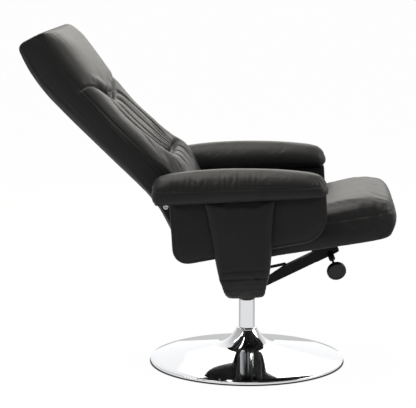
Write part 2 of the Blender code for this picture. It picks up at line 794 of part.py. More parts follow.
board_space = slab(
    "board_space", BOARD_HALF_WIDTH + GAP, (-2 * BOARD_TAIL, board_top + GAP),
    (BOARD_DEPTH - GAP, SHELL_DEPTH + BOARD_THICKNESS),
)
foam_space = slab(
    "foam_space", foam_half + GAP, (FOAM_WALL - GAP, foam_top + GAP),
    (FOAM_WALL - GAP, BOARD_DEPTH + BOARD_THICKNESS / 2),
)
boolean(shell, helper(board_space, recline_axis))
boolean(shell, helper(foam_space, recline_axis))
shell_space = slab(
    "shell_space", 2 * BACK_HALF_WIDTH, (-2 * BOARD_TAIL, BACK_LENGTH + BACK_CORNER),
    (-SHELL_DEPTH, SHELL_DEPTH + GAP),
)
helper(shell_space, recline_axis)


def roll(across):
    """Falls from 1 at the crest to 0 at the side seam, round a quarter ellipse."""
    outside = max(abs(across) - ROLL_START, 0.0) / (1 - ROLL_START)
    return math.sqrt(1 - outside * outside)


def front_depth(across, station, rise):
    """Depth of the padding's front, where rise falls to 0 at a seam that draws it in."""
    low = SHELL_DEPTH + CUSHION_EDGE
    return mix(low, swell(station), roll(across) * rise)


fluted = CHANNEL_PAIRS * CHANNEL_PITCH


def back_cushion_point(a, b, c):
    share = (b + 1) / 2
    station = share * (pillow_edge(a) - GAP)
    x = a * BACK_HALF_WIDTH
    if c < 0:
        return back_point(x, station, SHELL_DEPTH - CUSHION_EDGE)
    foot_end = mix(FOOT_RISE, 1.0, smooth(share / FOOT_ROLL))
    seam_end = mix(SEAM_RISE, 1.0, smooth((1 - share) / SEAM_ROLL))
    ends = min(foot_end, seam_end)
    depth = front_depth(a, station, ends)
    depth -= PANEL_RECESS * smooth((fluted - abs(a)) / PANEL_SLOPE + 0.5) * ends
    if abs(a) < fluted + WELD:
        groove = 0.5 + 0.5 * math.cos(2 * math.pi * a / CHANNEL_PITCH)
        depth -= CHANNEL_DEPTH * groove * (1.0 if share > TUCK_SHARE else PLEAT_SHARE) * ends
    tuck = math.exp(-(((share - TUCK_SHARE) / TUCK_WIDTH) ** 2))
    return back_point(x, station, depth - TUCK_DEPTH * tuck * roll(a))


half_pitches = range(-2 * CHANNEL_PAIRS, 2 * CHANNEL_PAIRS + 1)
fluted_cuts = [i * CHANNEL_PITCH / 2 for i in half_pitches]
cushion_columns = [-0.95, -ROLL_START] + fluted_cuts + [ROLL_START, 0.95]
tuck_rows = [TUCK_SHARE - 2 * TUCK_WIDTH, TUCK_SHARE, TUCK_SHARE + 2 * TUCK_WIDTH]
cushion_shares = [FOOT_ROLL / 3, FOOT_ROLL, 0.3] + tuck_rows + [0.8, 1 - SEAM_ROLL, 1 - SEAM_ROLL / 3]
cushion_rows = [2 * share - 1 for share in cushion_shares]
back_cushion = cage("back_cushion", (cushion_columns, cushion_rows, []), back_cushion_point, levels=1)
keep(back_cushion, LEATHER, recline_axis)
boolean(back_cushion, shell_space)


def head_pillow_point(a, b, c):
    share = (b + 1) / 2
    station = mix(pillow_edge(a) + GAP, BACK_LENGTH, share)
    x = a * BACK_HALF_WIDTH
    if c < 0:
        return back_point(x, station, SHELL_DEPTH - CUSHION_EDGE)
    past = max((share - 1) / PILLOW_TOP_ROLL + 1, 0.0)
    over_top = math.sqrt(max(1 - past * past, 0.0))
    rise = min(mix(PILLOW_RISE, 1.0, smooth(share / PILLOW_ROLL)), over_top)
    return back_point(x, station, mix(SHELL_DEPTH, front_depth(a, station, rise), (c + 1) / 2))


pillow_columns = (-0.95, -ROLL_START, -0.3, 0.3, ROLL_START, 0.95)
top_shares = [1 - PILLOW_TOP_ROLL * part for part in (1.0, 0.5, 0.15)]
pillow_shares = [PILLOW_ROLL / 3, PILLOW_ROLL, 0.4] + top_shares
pillow_rows = [2 * share - 1 for share in pillow_shares]
head_pillow = cage("head_pillow", (pillow_columns, pillow_rows, [PILLOW_SEAM]), head_pillow_point, levels=1)
keep(head_pillow, LEATHER, recline_axis)
boolean(head_pillow, shell_space)

# Recline pivots: bracket under each arm, washer, plate on the back's side and the bolt through them
plate_in = BACK_HALF_WIDTH + GAP
washer_in = plate_in + PIVOT_PLATE + GAP
bracket_in = washer_in + PIVOT_WASHER + GAP
head_in = bracket_in + PIVOT_PLATE + GAP
pivot_hole = PIVOT_BOLT_RADIUS + GAP
pivot_up = PIVOT_Z - FRAME_HEIGHT
pivot_frame_y = PIVOT_Y * math.cos(FRAME_PITCH) - pivot_up * math.sin(FRAME_PITCH)
pivot_frame_z = PIVOT_Y * math.sin(FRAME_PITCH) + pivot_up * math.cos(FRAME_PITCH)
turn_to_x = {"right": math.radians(-90), "left": math.radians(90)}
for name, side in SIDES.items():
    hole = disc(f"pivot_hole_{name}", pivot_hole, -CUTTER_REACH, CUTTER_REACH, steps=20)
    helper(hole, recline_axis)
    hole.location = (side * bracket_in, 0.0, 0.0)
    hole.rotation_euler = (0.0, turn_to_x[name], 0.0)
    low_end = back_point(0.0, PIVOT_EAR_LOW, PIVOT_EAR_DEPTH)[1:]
    high_end = back_point(0.0, PIVOT_EAR_HIGH, PIVOT_EAR_DEPTH)[1:]
    ear = plate(
        f"pivot_plate_{name}", capsule(low_end, high_end, PIVOT_EAR_RADIUS),
        side * (plate_in + PIVOT_PLATE / 2), PIVOT_PLATE,
    )
    keep(ear, BLACK_STEEL, recline_axis)
    boolean(ear, hole)
    washer = ring(f"pivot_washer_{name}", PIVOT_EYE, pivot_hole, 0.0, PIVOT_WASHER, steps=20)
    washer.location = (side * washer_in, 0.0, 0.0)
    washer.rotation_euler = (0.0, turn_to_x[name], 0.0)
    keep(washer, NYLON, recline_axis)
    flange_top = leg_top
    flange_low_z = flange_top - PIVOT_PLATE
    bracket_outline = capsule(
        (pivot_frame_y, pivot_frame_z), (pivot_frame_y, flange_top - PIVOT_EYE), PIVOT_EYE
    )
    bracket = plate(
        f"pivot_bracket_{name}", bracket_outline, side * (bracket_in + PIVOT_PLATE / 2), PIVOT_PLATE
    )
    keep(bracket, BLACK_STEEL, arm_frame)
    bracket_foot = box(
        f"bracket_foot_{name}",
        (min(side * bracket_in, side * ARM_CENTRE), PANEL_REAR + 2 * GAP, flange_low_z),
        (max(side * bracket_in, side * ARM_CENTRE), pivot_frame_y + BRACKET_FOOT, flange_top),
    )
    boolean(bracket, helper(bracket_foot, arm_frame), "UNION")
    boolean(bracket, hole)
    shank_end = -(head_in - plate_in)
    pivot_profile = [
        (0.0, PIVOT_HEAD_HEIGHT - PIVOT_SOCKET_DEPTH),
        (PIVOT_SOCKET_RADIUS, PIVOT_HEAD_HEIGHT - PIVOT_SOCKET_DEPTH),
        (PIVOT_SOCKET_RADIUS, PIVOT_HEAD_HEIGHT),
        (PIVOT_HEAD_RADIUS - PIVOT_HEAD_EDGE, PIVOT_HEAD_HEIGHT),
        (PIVOT_HEAD_RADIUS, PIVOT_HEAD_HEIGHT - PIVOT_HEAD_EDGE),
        (PIVOT_HEAD_RADIUS, 0.0),
        (PIVOT_BOLT_RADIUS, 0.0),
        (PIVOT_BOLT_RADIUS, shank_end),
        (0.0, shank_end),
    ]
    pivot_bolt = turned(f"pivot_bolt_{name}", pivot_profile, closed=False, steps=20)
    pivot_bolt.location = (side * head_in, 0.0, 0.0)
    pivot_bolt.rotation_euler = (0.0, turn_to_x[name], 0.0)
    keep(pivot_bolt, STEEL, recline_axis)

# Glide rail: a channel that slopes up and forward from the swivel housing
rail_half = RAIL_WIDTH / 2


def rail_top(distance):
    """Height of the rail that far from its root, where it tapers."""
    share = (distance - RAIL_TAPER_END) / (RAIL_TAPER_START - RAIL_TAPER_END)
    return mix(RAIL_ROOT_TALL, RAIL_TALL, min(max(share, 0.0), 1.0))


def rail_channel(name, half, low, ends, wall):
    taper = [2 * (d - ends[0]) / (ends[1] - ends[0]) - 1 for d in (RAIL_TAPER_END, RAIL_TAPER_START)]

    def place(a, b, c):
        distance = mix(*ends, (b + 1) / 2)
        return a * half, -distance, low if c < 0 else rail_top(distance) - wall

    return cage(name, ([], taper, []), place)


rail = keep(
    rail_channel("slide_rail", rail_half, 0.0, (0.0, RAIL_REACH), 0.0), BLACK_STEEL, rail_frame
)
rail_inside = rail_channel(
    "rail_inside", rail_half - RAIL_WALL, -RAIL_TALL, (-RAIL_TALL, RAIL_REACH + RAIL_TALL), RAIL_WALL
)
boolean(rail, helper(rail_inside, rail_frame))
boolean(rail, helper(disc("rail_cope", HOUSING_RADIUS + GAP, 0.0, 2 * FRAME_HEIGHT, steps=32), swivel_axis))

# Brace from the clamp plate's corner to the top of the rail
brace_start = (-BRACE_X, -half_width - BRACE_RADIUS, clamp_low + BRACE_RADIUS)
brace_start = arm_frame.matrix_basis @ Vector(brace_start)
brace_end = (-rail_half / 2, -RAIL_TAPER_START, RAIL_TALL + BRACE_RADIUS + GAP)
brace_end = rail_frame.matrix_basis @ Vector(brace_end)
keep(rod("rail_brace", brace_start, brace_end, BRACE_RADIUS), BLACK_STEEL, swivel_axis)

# Seat: padded cover over a foam block and a board
seat_board_half = SEAT_HALF_WIDTH - SEAT_BOARD_INSET
seat_foam_half = seat_board_half - SEAT_FOAM_INSET
seat_foam_low = SEAT_BOARD_THICKNESS + GAP
seat_reach = (SEAT_REAR - SEAT_FRONT) / 2


def seat_point(a, b, c):
    """Rolled over its front, crowned, falling to the rear and drawn in along its side seam."""
    x, y = squircle((a, b), SEAT_PLAN_POWER)
    beside = (1 - abs(a)) * SEAT_HALF_WIDTH
    ahead = (1 + b) * seat_reach
    behind = (1 - b) * seat_reach
    fall = SEAT_FALL * smooth((b + SEAT_CREST) / (1 + SEAT_CREST))
    dish = SEAT_DISH * (1 - a * a) * max(1 - b * b, 0.0) * smooth((b + SEAT_CREST) / SEAT_CREST)
    top = SEAT_HEIGHT - fall - dish - edge_drop((beside * SEAT_NOSE / SEAT_ROUND, ahead), SEAT_NOSE)
    top -= edge_drop((behind,), SEAT_BACK_ROUND)
    bottom = edge_drop((ahead,), SEAT_UNDER) + edge_drop((behind,), SEAT_UNDER)
    drawn = SEAM_DRAW if abs(c) < 1 else 0.0
    return x * (SEAT_HALF_WIDTH - drawn), y * (seat_reach - drawn), mix(bottom, top, (c + 1) / 2)


side_columns = round_cuts(SEAT_ROUND / SEAT_HALF_WIDTH)
seat_rows = round_cuts(SEAT_NOSE / seat_reach) + [-0.45, 0.0, 0.45]
seat_cuts = (side_columns + [-0.4, 0.4], seat_rows, [SEAT_SEAM])
seat_cushion = cage("seat_cushion", seat_cuts, seat_point, levels=1)
fit(
    seat_cushion, (-SEAT_HALF_WIDTH, SEAT_FRONT, 0.0), (SEAT_HALF_WIDTH, SEAT_REAR, SEAT_HEIGHT)
)
keep(seat_cushion, LEATHER, seat_glide)
board_corner = Vector((seat_board_half, SEAT_BOARD_REAR, SEAT_BOARD_THICKNESS))
board_base = Vector((-seat_board_half, SEAT_BOARD_FRONT, 0.0))
keep(box("seat_board", board_base, board_corner), PLY, seat_glide)
foam_base = Vector((-seat_foam_half, SEAT_BOARD_FRONT + SEAT_FOAM_INSET, seat_foam_low))
foam_corner = Vector((seat_foam_half, SEAT_BOARD_REAR - SEAT_FOAM_INSET, seat_foam_low + SEAT_FOAM_HEIGHT))
keep(box("seat_foam", foam_base, foam_corner), FOAM, seat_glide)
spare = Vector((GAP, GAP, GAP))
below = Vector((0.0, 0.0, SEAT_HEIGHT))
board_pocket = box("seat_board_space", board_base - spare - below, board_corner + spare)
foam_pocket = box("seat_foam_space", foam_base - spare - below, foam_corner + spare)
boolean(seat_cushion, helper(board_pocket, seat_glide))
boolean(seat_cushion, helper(foam_pocket, seat_glide))

# Link between the back's foot and the seat's rear: at mid recline it hangs square to the rail
link_angle = -math.pi / 2 - RAIL_SLOPE - RECLINE_RANGE / 2
link_y = LINK_LENGTH * math.cos(link_angle)
link_z = LINK_LENGTH * math.sin(link_angle)
lug_in = BOARD_HALF_WIDTH + GAP
rod_half = lug_in + LUG_THICKNESS + LINK_ROD_RADIUS
link_rod = rod("link_rod", (-rod_half, link_y, link_z), (rod_half, link_y, link_z), LINK_ROD_RADIUS, 20)
keep(link_rod, STEEL, recline_axis)
rod_reach = rod_half + CUTTER_REACH
rod_space = rod(
    "rod_space", (-rod_reach, link_y, link_z), (rod_reach, link_y, link_z), LINK_ROD_RADIUS + GAP, 20
)
helper(rod_space, recline_axis)
lug_top = back_point(0.0, -BOARD_TAIL / 2, BOARD_DEPTH + BOARD_THICKNESS / 2)[1:]
for name, side in SIDES.items():
    lug = plate(
        f"back_lug_{name}", capsule((link_y, link_z), lug_top, LINK_EYE),
        side * (lug_in + LUG_THICKNESS / 2), LUG_THICKNESS,
    )
    keep(lug, BLACK_STEEL, recline_axis)
    boolean(lug, rod_space)

# Hooks under the seat board, each with a slot that the link rod rises and falls in, and a notch for each
# in the tail of the back's board
link_dip = LINK_LENGTH * (1 - math.cos(RECLINE_RANGE / 2))
to_seat = seat_glide.matrix_basis.inverted() @ recline_axis.matrix_basis
link_seat = to_seat @ Vector((0.0, link_y, link_z))
dip = SEAT_TILT - RAIL_SLOPE
slot_end = (link_seat.y + link_dip * math.sin(dip), link_seat.z - link_dip * math.cos(dip))
slot = capsule((link_seat.y, link_seat.z), slot_end, LINK_ROD_RADIUS + 2 * RUNNING_GAP)
hook_level = -HOOK_BAR - GAP
hook_bend = (SEAT_REAR - HOOK_BAR, hook_level)
notch_end = back_point(0.0, -BOARD_TAIL, BOARD_DEPTH + BOARD_THICKNESS / 2)[1:]
notch_mouth = back_point(0.0, -2 * BOARD_TAIL, BOARD_DEPTH + BOARD_THICKNESS / 2)[1:]
notch = capsule(notch_end, notch_mouth, BOARD_THICKNESS)
notch_width = LUG_THICKNESS + 2 * HOOK_CLEARANCE
for name, side in SIDES.items():
    x = side * HOOK_X
    bar = plate(
        f"seat_hook_{name}", capsule((SEAT_BOARD_REAR - HOOK_REACH, hook_level), hook_bend, HOOK_BAR),
        x, LUG_THICKNESS,
    )
    keep(bar, BLACK_STEEL, seat_glide)
    riser = plate(
        f"hook_riser_{name}", capsule(hook_bend, slot_end, HOOK_BAR, LINK_EYE), x, LUG_THICKNESS
    )
    boolean(bar, helper(riser, seat_glide), "UNION")
    boolean(bar, helper(plate(f"hook_slot_{name}", slot, x, 3 * LUG_THICKNESS), seat_glide))
    boolean(board, helper(plate(f"hook_notch_{name}", notch, x, notch_width), recline_axis))

# Shoe: a saddle under the seat board that rides on the rail, with a keeper pin in a slot of its left wall
seat_in_rail = rail_frame.matrix_basis.inverted() @ seat_glide.matrix_basis
seat_origin = seat_in_rail @ Vector((0.0, 0.0, -GAP))
seat_slope = math.tan(RAIL_SLOPE - SEAT_TILT)
shoe_half = rail_half + GAP + SHOE_WALL


def shoe_point(a, b, c):
    y = mix(-SHOE_FRONT, SHOE_LENGTH - SHOE_FRONT, (b + 1) / 2)
    top = seat_origin.z + (y - seat_origin.y) * seat_slope
    return a * shoe_half, y, SHOE_LOW if c < 0 else top


shoe = keep(cage("slide_shoe", ([], [], []), shoe_point), BLACK_STEEL, None)
shoe.parent = seat_glide
shoe.matrix_parent_inverse = seat_glide.matrix_basis.inverted() @ rail_frame.matrix_basis
shoe_in_seat = shoe.matrix_parent_inverse


def on_rail(obj):
    """Carries a piece, made in the rail's axes, with the seat."""
    obj.parent = seat_glide
    obj.matrix_parent_inverse = shoe_in_seat
    return obj


space_half = rail_half + GAP
space_low = (-space_half, -SHOE_FRONT - CUTTER_REACH, -CUTTER_REACH)
rail_space = box("rail_space", space_low, (space_half, 0.0, RAIL_TALL + GAP))
keeper_y = KEEPER_SETBACK - SHOE_FRONT
keeper_inner = Vector((0.0, keeper_y, KEEPER_HEIGHT))
keeper_reach = Vector((shoe_half + KEEPER_RADIUS, 0.0, 0.0))
keeper = rod("keeper_pin", keeper_inner, keeper_inner + keeper_reach, KEEPER_RADIUS)
on_rail(keep(keeper, STEEL, None))
keeper_hole = rod(
    "keeper_hole", keeper_inner, keeper_inner + 2 * keeper_reach, KEEPER_RADIUS + GAP
)
boolean(shoe, on_rail(helper(keeper_hole, None)))
glide_travel = 2 * LINK_LENGTH * math.sin(RECLINE_RANGE / 2)
slot_rear = (keeper_y + glide_travel, KEEPER_HEIGHT)
slot_outline = capsule((keeper_y, KEEPER_HEIGHT), slot_rear, KEEPER_RADIUS + RUNNING_GAP)
keeper_slot = plate("keeper_slot", slot_outline, RAIL_WIDTH, 2 * RAIL_WIDTH)
boolean(rail, helper(keeper_slot, rail_frame))

# Clamp screw: it comes in from the right, tilted down, through a boss on the shoe
knob_axis = empty("knob_axis", (-rail_half - 2 * GAP, KNOB_SETBACK - SHOE_FRONT, KNOB_HEIGHT))
on_rail(knob_axis)
knob_axis.rotation_euler = (0.0, math.radians(-90) - KNOB_TILT, 0.0)
screw_start = SCREW_RADIUS * math.sin(KNOB_TILT)
boolean(shoe, helper(disc("clamp_boss", BOSS_RADIUS, 0.0, BOSS_LENGTH, steps=20), knob_axis), "UNION")
boolean(shoe, on_rail(helper(rail_space, None)))
boolean(shoe, helper(disc("screw_hole", SCREW_RADIUS + GAP, 0.0, CUTTER_REACH, steps=20), knob_axis))
keep(disc("knob_screw", SCREW_RADIUS, screw_start, SCREW_LENGTH, steps=20), STEEL, knob_axis)
knob_low = SCREW_LENGTH - KNOB_THICKNESS / 2
knob_high = knob_low + KNOB_THICKNESS
knob_bore = SCREW_RADIUS + GAP
knob_bevel = KNOB_EDGE * (1 - math.sqrt(0.5))
knob_profile = [
    (0.0, knob_high),
    (KNOB_RADIUS - KNOB_EDGE, knob_high),
    (KNOB_RADIUS - knob_bevel, knob_high - knob_bevel),
    (KNOB_RADIUS, knob_high - KNOB_EDGE),
    (KNOB_RADIUS, knob_low + KNOB_EDGE),
    (KNOB_RADIUS - KNOB_EDGE, knob_low),
    (knob_bore, knob_low),
    (knob_bore, SCREW_LENGTH + GAP),
    (0.0, SCREW_LENGTH + GAP),
]
keep(turned("knob", knob_profile, closed=False, steps=32), NYLON, knob_axis)
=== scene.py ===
"""Swivel recliner as it looks: black leather over foam on a bent frame, above a round chrome pedestal.

Metres, +Z up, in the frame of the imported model. The sitter faces -Y and -X is the sitter's right.
"""

import math
import random

import bpy
import numpy as np
from mathutils import Matrix, Vector


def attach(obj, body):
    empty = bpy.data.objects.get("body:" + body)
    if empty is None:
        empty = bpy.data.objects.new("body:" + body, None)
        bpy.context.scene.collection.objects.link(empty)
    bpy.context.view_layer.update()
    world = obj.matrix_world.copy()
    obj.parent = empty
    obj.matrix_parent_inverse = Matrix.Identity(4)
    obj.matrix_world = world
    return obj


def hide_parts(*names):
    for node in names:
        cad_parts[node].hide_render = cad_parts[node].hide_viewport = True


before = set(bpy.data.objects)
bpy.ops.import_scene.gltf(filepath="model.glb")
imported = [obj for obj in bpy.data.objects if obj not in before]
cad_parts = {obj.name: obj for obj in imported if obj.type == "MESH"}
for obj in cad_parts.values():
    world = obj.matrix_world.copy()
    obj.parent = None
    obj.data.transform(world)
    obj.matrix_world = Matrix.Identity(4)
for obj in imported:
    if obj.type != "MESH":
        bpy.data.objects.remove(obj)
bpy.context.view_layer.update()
scene = bpy.context.scene

# Studio: a long-lens camera off the sitter's right, a white floor that runs out into a white room, a wide
# lamp over the chair, one in front of it and one behind its far side.
CAMERA_PLACE = (-4.694, -0.1656, 1.2596)
CAMERA_AIM = Vector((0.0, 0.117, 0.4756))
CAMERA_LENS = 138.46
SENSOR_WIDTH = 36.0
# Each lamp: place, aim, width in metres, power in watts. Their light is slightly warm.
LAMPS = {
    "overhead": ((-0.1, 0.8, 3.2), (0.0, 0.1, 0.5), 2.8, 145.0),
    "front": ((0.2, -3.0, 2.3), (0.0, 0.0, 0.6), 1.8, 75.0),
    "far side": ((2.8, -0.3, 2.2), (0.0, 0.0, 0.6), 2.4, 35.0),
}
LAMP_COLOUR = "#fff9f0"
scene.view_settings.view_transform = "Standard"


def linear(hex_colour):
    """An sRGB hex colour as the linear values that shaders take."""
    shares = [int(hex_colour[i:i + 2], 16) / 255 for i in (1, 3, 5)]
    return [s / 12.92 if s <= 0.04045 else ((s + 0.055) / 1.055) ** 2.4 for s in shares] + [1.0]


def wired(tree, kind, sockets=None, **settings):
    """Adds a node with its settings, and gives each named socket a value or a link."""
    node = tree.nodes.new(kind)
    for name, value in settings.items():
        setattr(node, name, value)
    for name, value in (sockets or {}).items():
        if isinstance(value, bpy.types.NodeSocket):
            tree.links.new(value, node.inputs[name])
        else:
            node.inputs[name].default_value = value
    return node


bpy.ops.object.select_all(action="DESELECT")
bpy.ops.object.camera_add(location=CAMERA_PLACE)
camera = bpy.context.object
camera.rotation_euler = (CAMERA_AIM - camera.location).to_track_quat("-Z", "Y").to_euler()
camera.data.sensor_width = SENSOR_WIDTH
camera.data.lens = CAMERA_LENS
scene.camera = camera

for lamp_name, (place, aim, width, power) in LAMPS.items():
    bpy.ops.object.light_add(type="AREA", location=place)
    lamp = bpy.context.object
    lamp.name = lamp_name
    lamp.data.shape = "SQUARE"
    lamp.data.size = width
    lamp.data.energy = power
    lamp.data.color = linear(LAMP_COLOUR)[:3]
    lamp.rotation_euler = (Vector(aim) - lamp.location).to_track_quat("-Z", "Y").to_euler()
    lamp.visible_camera = False

# The room: white where the camera or a mirror sees it, with half of that as fill light. It is dim above and
# behind the camera, less so at both ends, and mirrors show its far wall brightest. Each fade is a range of
# cosines.
DIM_SIDE = (-0.95, 0.0, 0.31)
DIM_FADE = (0.20, 0.75)
DIM_LEVEL = 0.28
ASIDE = (0.0, 1.0, 0.0)
ENDS_FADE = (0.15, 0.9)
ENDS_LEVEL = 0.55
FAR_WALL_FADE = (-0.65, -0.25)
FAR_WALL_LEVEL = 1.19
ROOM_FILL = 0.50
scene.world = bpy.data.worlds.new("white_room")
scene.world.use_nodes = True
room = scene.world.node_tree
room.nodes.clear()
path = wired(room, "ShaderNodeLightPath")
direction = wired(room, "ShaderNodeTexCoord")
facing = wired(
    room, "ShaderNodeVectorMath", {0: direction.outputs["Generated"], 1: DIM_SIDE}, operation="DOT_PRODUCT"
)
shade = wired(
    room, "ShaderNodeMapRange",
    {
        "Value": facing.outputs["Value"], "From Min": DIM_FADE[0], "From Max": DIM_FADE[1],
        "To Min": 1.0, "To Max": DIM_LEVEL,
    },
    interpolation_type="SMOOTHSTEP",
)
aside = wired(
    room, "ShaderNodeVectorMath", {0: direction.outputs["Generated"], 1: ASIDE}, operation="DOT_PRODUCT"
)
aside = wired(room, "ShaderNodeMath", {0: aside.outputs["Value"]}, operation="ABSOLUTE")
ends = wired(
    room, "ShaderNodeMapRange",
    {
        "Value": aside.outputs[0], "From Min": ENDS_FADE[0], "From Max": ENDS_FADE[1],
        "To Min": 1.0, "To Max": ENDS_LEVEL,
    },
    interpolation_type="SMOOTHSTEP",
)
shade = wired(room, "ShaderNodeMath", {0: shade.outputs[0], 1: ends.outputs[0]}, operation="MULTIPLY")
mirrored_rays = wired(
    room, "ShaderNodeMath", {0: path.outputs["Is Glossy Ray"], 1: path.outputs["Is Transmission Ray"]},
    operation="ADD", use_clamp=True,
)
far_wall = wired(
    room, "ShaderNodeMapRange",
    {
        "Value": facing.outputs["Value"], "From Min": FAR_WALL_FADE[0], "From Max": FAR_WALL_FADE[1],
        "To Min": FAR_WALL_LEVEL, "To Max": 1.0,
    },
    interpolation_type="SMOOTHSTEP",
)
level = wired(
    room, "ShaderNodeMix", {0: mirrored_rays.outputs[0], 2: ROOM_FILL, 3: far_wall.outputs[0]}
)
shaded = wired(room, "ShaderNodeMath", {0: level.outputs[0], 1: shade.outputs[0]}, operation="MULTIPLY")
strength = wired(room, "ShaderNodeMix", {0: path.outputs["Is Camera Ray"], 2: shaded.outputs[0], 3: 1.0})
sky = wired(room, "ShaderNodeBackground", {"Color": linear("#ffffff"), "Strength": strength.outputs[0]})
wired(room, "ShaderNodeOutputWorld", {"Surface": sky.outputs[0]})


def new_material(name):
    """A material with its tree, its Principled shader and the object coordinates that patterns use."""
    material = bpy.data.materials.new(name)
    material.use_nodes = True
    tree = material.node_tree
    coordinates = wired(tree, "ShaderNodeTexCoord").outputs["Object"]
    return material, tree, tree.nodes["Principled BSDF"], coordinates


# Matt white paper sweep: it shows as white to the camera and keeps a faint shadow. A painted shadow makes it
# dark under the base's rim and in the gap just beyond it, and painted shade makes it darker in mirrors on the
# far side, where the chair's shade would fall.
FLOOR_WIDTH = 60.0
FLOOR_WHITE = 0.98
FAR_FLOOR_SHADE_FADE = (0.0, 0.25)
FAR_FLOOR_SHADE_LEVEL = 0.62
RIM_SHADOW_RADII = (0.290, 0.2945)
RIM_SHADOW_LEVEL = 0.03
floor_white, tree, paper, coordinates = new_material("matt_white_paper")
paper.inputs["Base Color"].default_value = linear("#f1f0ee")
paper.inputs["Roughness"].default_value = 0.9
path = wired(tree, "ShaderNodeLightPath")
seen = wired(
    tree, "ShaderNodeMath", {0: path.outputs["Is Camera Ray"], 1: path.outputs["Is Glossy Ray"]},
    operation="ADD", use_clamp=True,
)
seen = wired(
    tree, "ShaderNodeMath", {0: seen.outputs[0], 1: path.outputs["Is Transmission Ray"]},
    operation="ADD", use_clamp=True,
)
seen = wired(tree, "ShaderNodeMath", {0: seen.outputs[0], 1: FLOOR_WHITE}, operation="MULTIPLY")
# Painted shade: mirrors see the floor darker beyond x = 0, on the chair's far side.
beyond = wired(tree, "ShaderNodeSeparateXYZ", {"Vector": coordinates})
shade = wired(
    tree, "ShaderNodeMapRange",
    {
        "Value": beyond.outputs["X"], "From Min": FAR_FLOOR_SHADE_FADE[0], "From Max": FAR_FLOOR_SHADE_FADE[1],
        "To Min": 1.0, "To Max": FAR_FLOOR_SHADE_LEVEL,
    },
    interpolation_type="SMOOTHSTEP",
)
glow = wired(tree, "ShaderNodeMix", {0: path.outputs["Is Glossy Ray"], 2: 1.0, 3: shade.outputs[0]})
# Painted shadow: the white falls almost to nothing inside the rim's radius and just beyond it, under the rim.
from_axis = wired(tree, "ShaderNodeVectorMath", {0: coordinates}, operation="LENGTH")
painted_rim_shadow = wired(
    tree, "ShaderNodeMapRange",
    {
        "Value": from_axis.outputs["Value"], "From Min": RIM_SHADOW_RADII[0], "From Max": RIM_SHADOW_RADII[1],
        "To Min": RIM_SHADOW_LEVEL, "To Max": 1.0,
    },
    interpolation_type="SMOOTHSTEP",
)
glow = wired(tree, "ShaderNodeMath", {0: glow.outputs[0], 1: painted_rim_shadow.outputs[0]}, operation="MULTIPLY")
white = wired(tree, "ShaderNodeEmission", {"Color": linear("#ffffff"), "Strength": glow.outputs[0]})
sweep = wired(tree, "ShaderNodeMixShader", {0: seen.outputs[0], 1: paper.outputs[0], 2: white.outputs[0]})
tree.links.new(sweep.outputs[0], tree.nodes["Material Output"].inputs["Surface"])
bpy.ops.mesh.primitive_plane_add(size=FLOOR_WIDTH)
floor = bpy.context.object
floor.name = "floor"
floor.data.materials.append(floor_white)

# Pedestal: a spun and chrome-plated steel dish on a rubber sheet, weighted by an iron plate inside, with a
# chrome column tube that bolts to a flange below and leaves the dish through a collar.
BASE_RADIUS = 0.290
RIM_LOW = 0.0033
RIM_TOP = 0.0098
RIM_ROUND = 0.0012
DISH_RISE = 0.056
DISH_STEPS = 56
DISH_SPREAD = 0.62
NECK_RADIUS = 0.027
BELL_RADIUS = 0.031
BELL_HEIGHT = 0.0373
BELL_REACH = 0.080
SHEET = 0.0015
EDGE = 0.0004
COLUMN_RADIUS = 0.0240
COLUMN_BORE = 0.0212
COLUMN_FOOT = 0.0149
COLUMN_TOP = 0.1900
COLLAR_RADIUS = 0.0310
COLLAR_BORE = 0.0243
COLLAR_FOOT = 0.0974
COLLAR_TOP = 0.1034


def turned(name, profile, sides, capped=False):
    """Draws a ring along (radius, height) points about Z, as on a lathe, from a flat cap if capped."""
    radius, height = profile[0]
    bpy.ops.object.select_all(action="DESELECT")
    bpy.ops.mesh.primitive_circle_add(
        vertices=sides, radius=radius, fill_type="NGON" if capped else "NOTHING", enter_editmode=True
    )
    bpy.ops.mesh.select_all(action="SELECT")
    bpy.ops.transform.translate(value=(0.0, 0.0, height))
    for next_radius, next_height in profile[1:]:
        bpy.ops.mesh.extrude_edges_move()
        scale = next_radius / radius
        bpy.ops.transform.resize(value=(scale, scale, 1.0), center_override=(0.0, 0.0, 0.0))
        bpy.ops.transform.translate(value=(0.0, 0.0, next_height - height))
        radius, height = next_radius, next_height
    bpy.ops.mesh.select_all(action="SELECT")
    bpy.ops.mesh.remove_doubles(threshold=0.000005)
    bpy.ops.mesh.normals_make_consistent(inside=False)
    bpy.ops.object.mode_set(mode="OBJECT")
    bpy.ops.object.shade_smooth_by_angle(angle=math.radians(40))
    piece = bpy.context.object
    piece.name = name
    return piece


def dish_height(radius):
    """A shallow cone that sweeps up into a bell round the column."""
    bell = BELL_HEIGHT * max(1 - (radius - BELL_RADIUS) / BELL_REACH, 0.0) ** 3
    return RIM_TOP + DISH_RISE * (1 - radius / BASE_RADIUS) + bell


# Bright chrome plate over polished steel: a mirror, with faint clouding from handling that only its
# roughness shows.
CLOUD_MM = 45.45
chrome, tree, mirror, coordinates = new_material("bright_chrome_plate")
mirror.inputs["Base Color"].default_value = linear("#dedfe1")
mirror.inputs["Metallic"].default_value = 1.0
clouding = wired(
    tree, "ShaderNodeTexNoise", {"Vector": coordinates, "Scale": 1000 / CLOUD_MM, "Detail": 3.0}
)
haze = wired(
    tree, "ShaderNodeMapRange", {"Value": clouding.outputs["Fac"], "To Min": 0.025, "To Max": 0.075}
)
tree.links.new(haze.outputs[0], mirror.inputs["Roughness"])

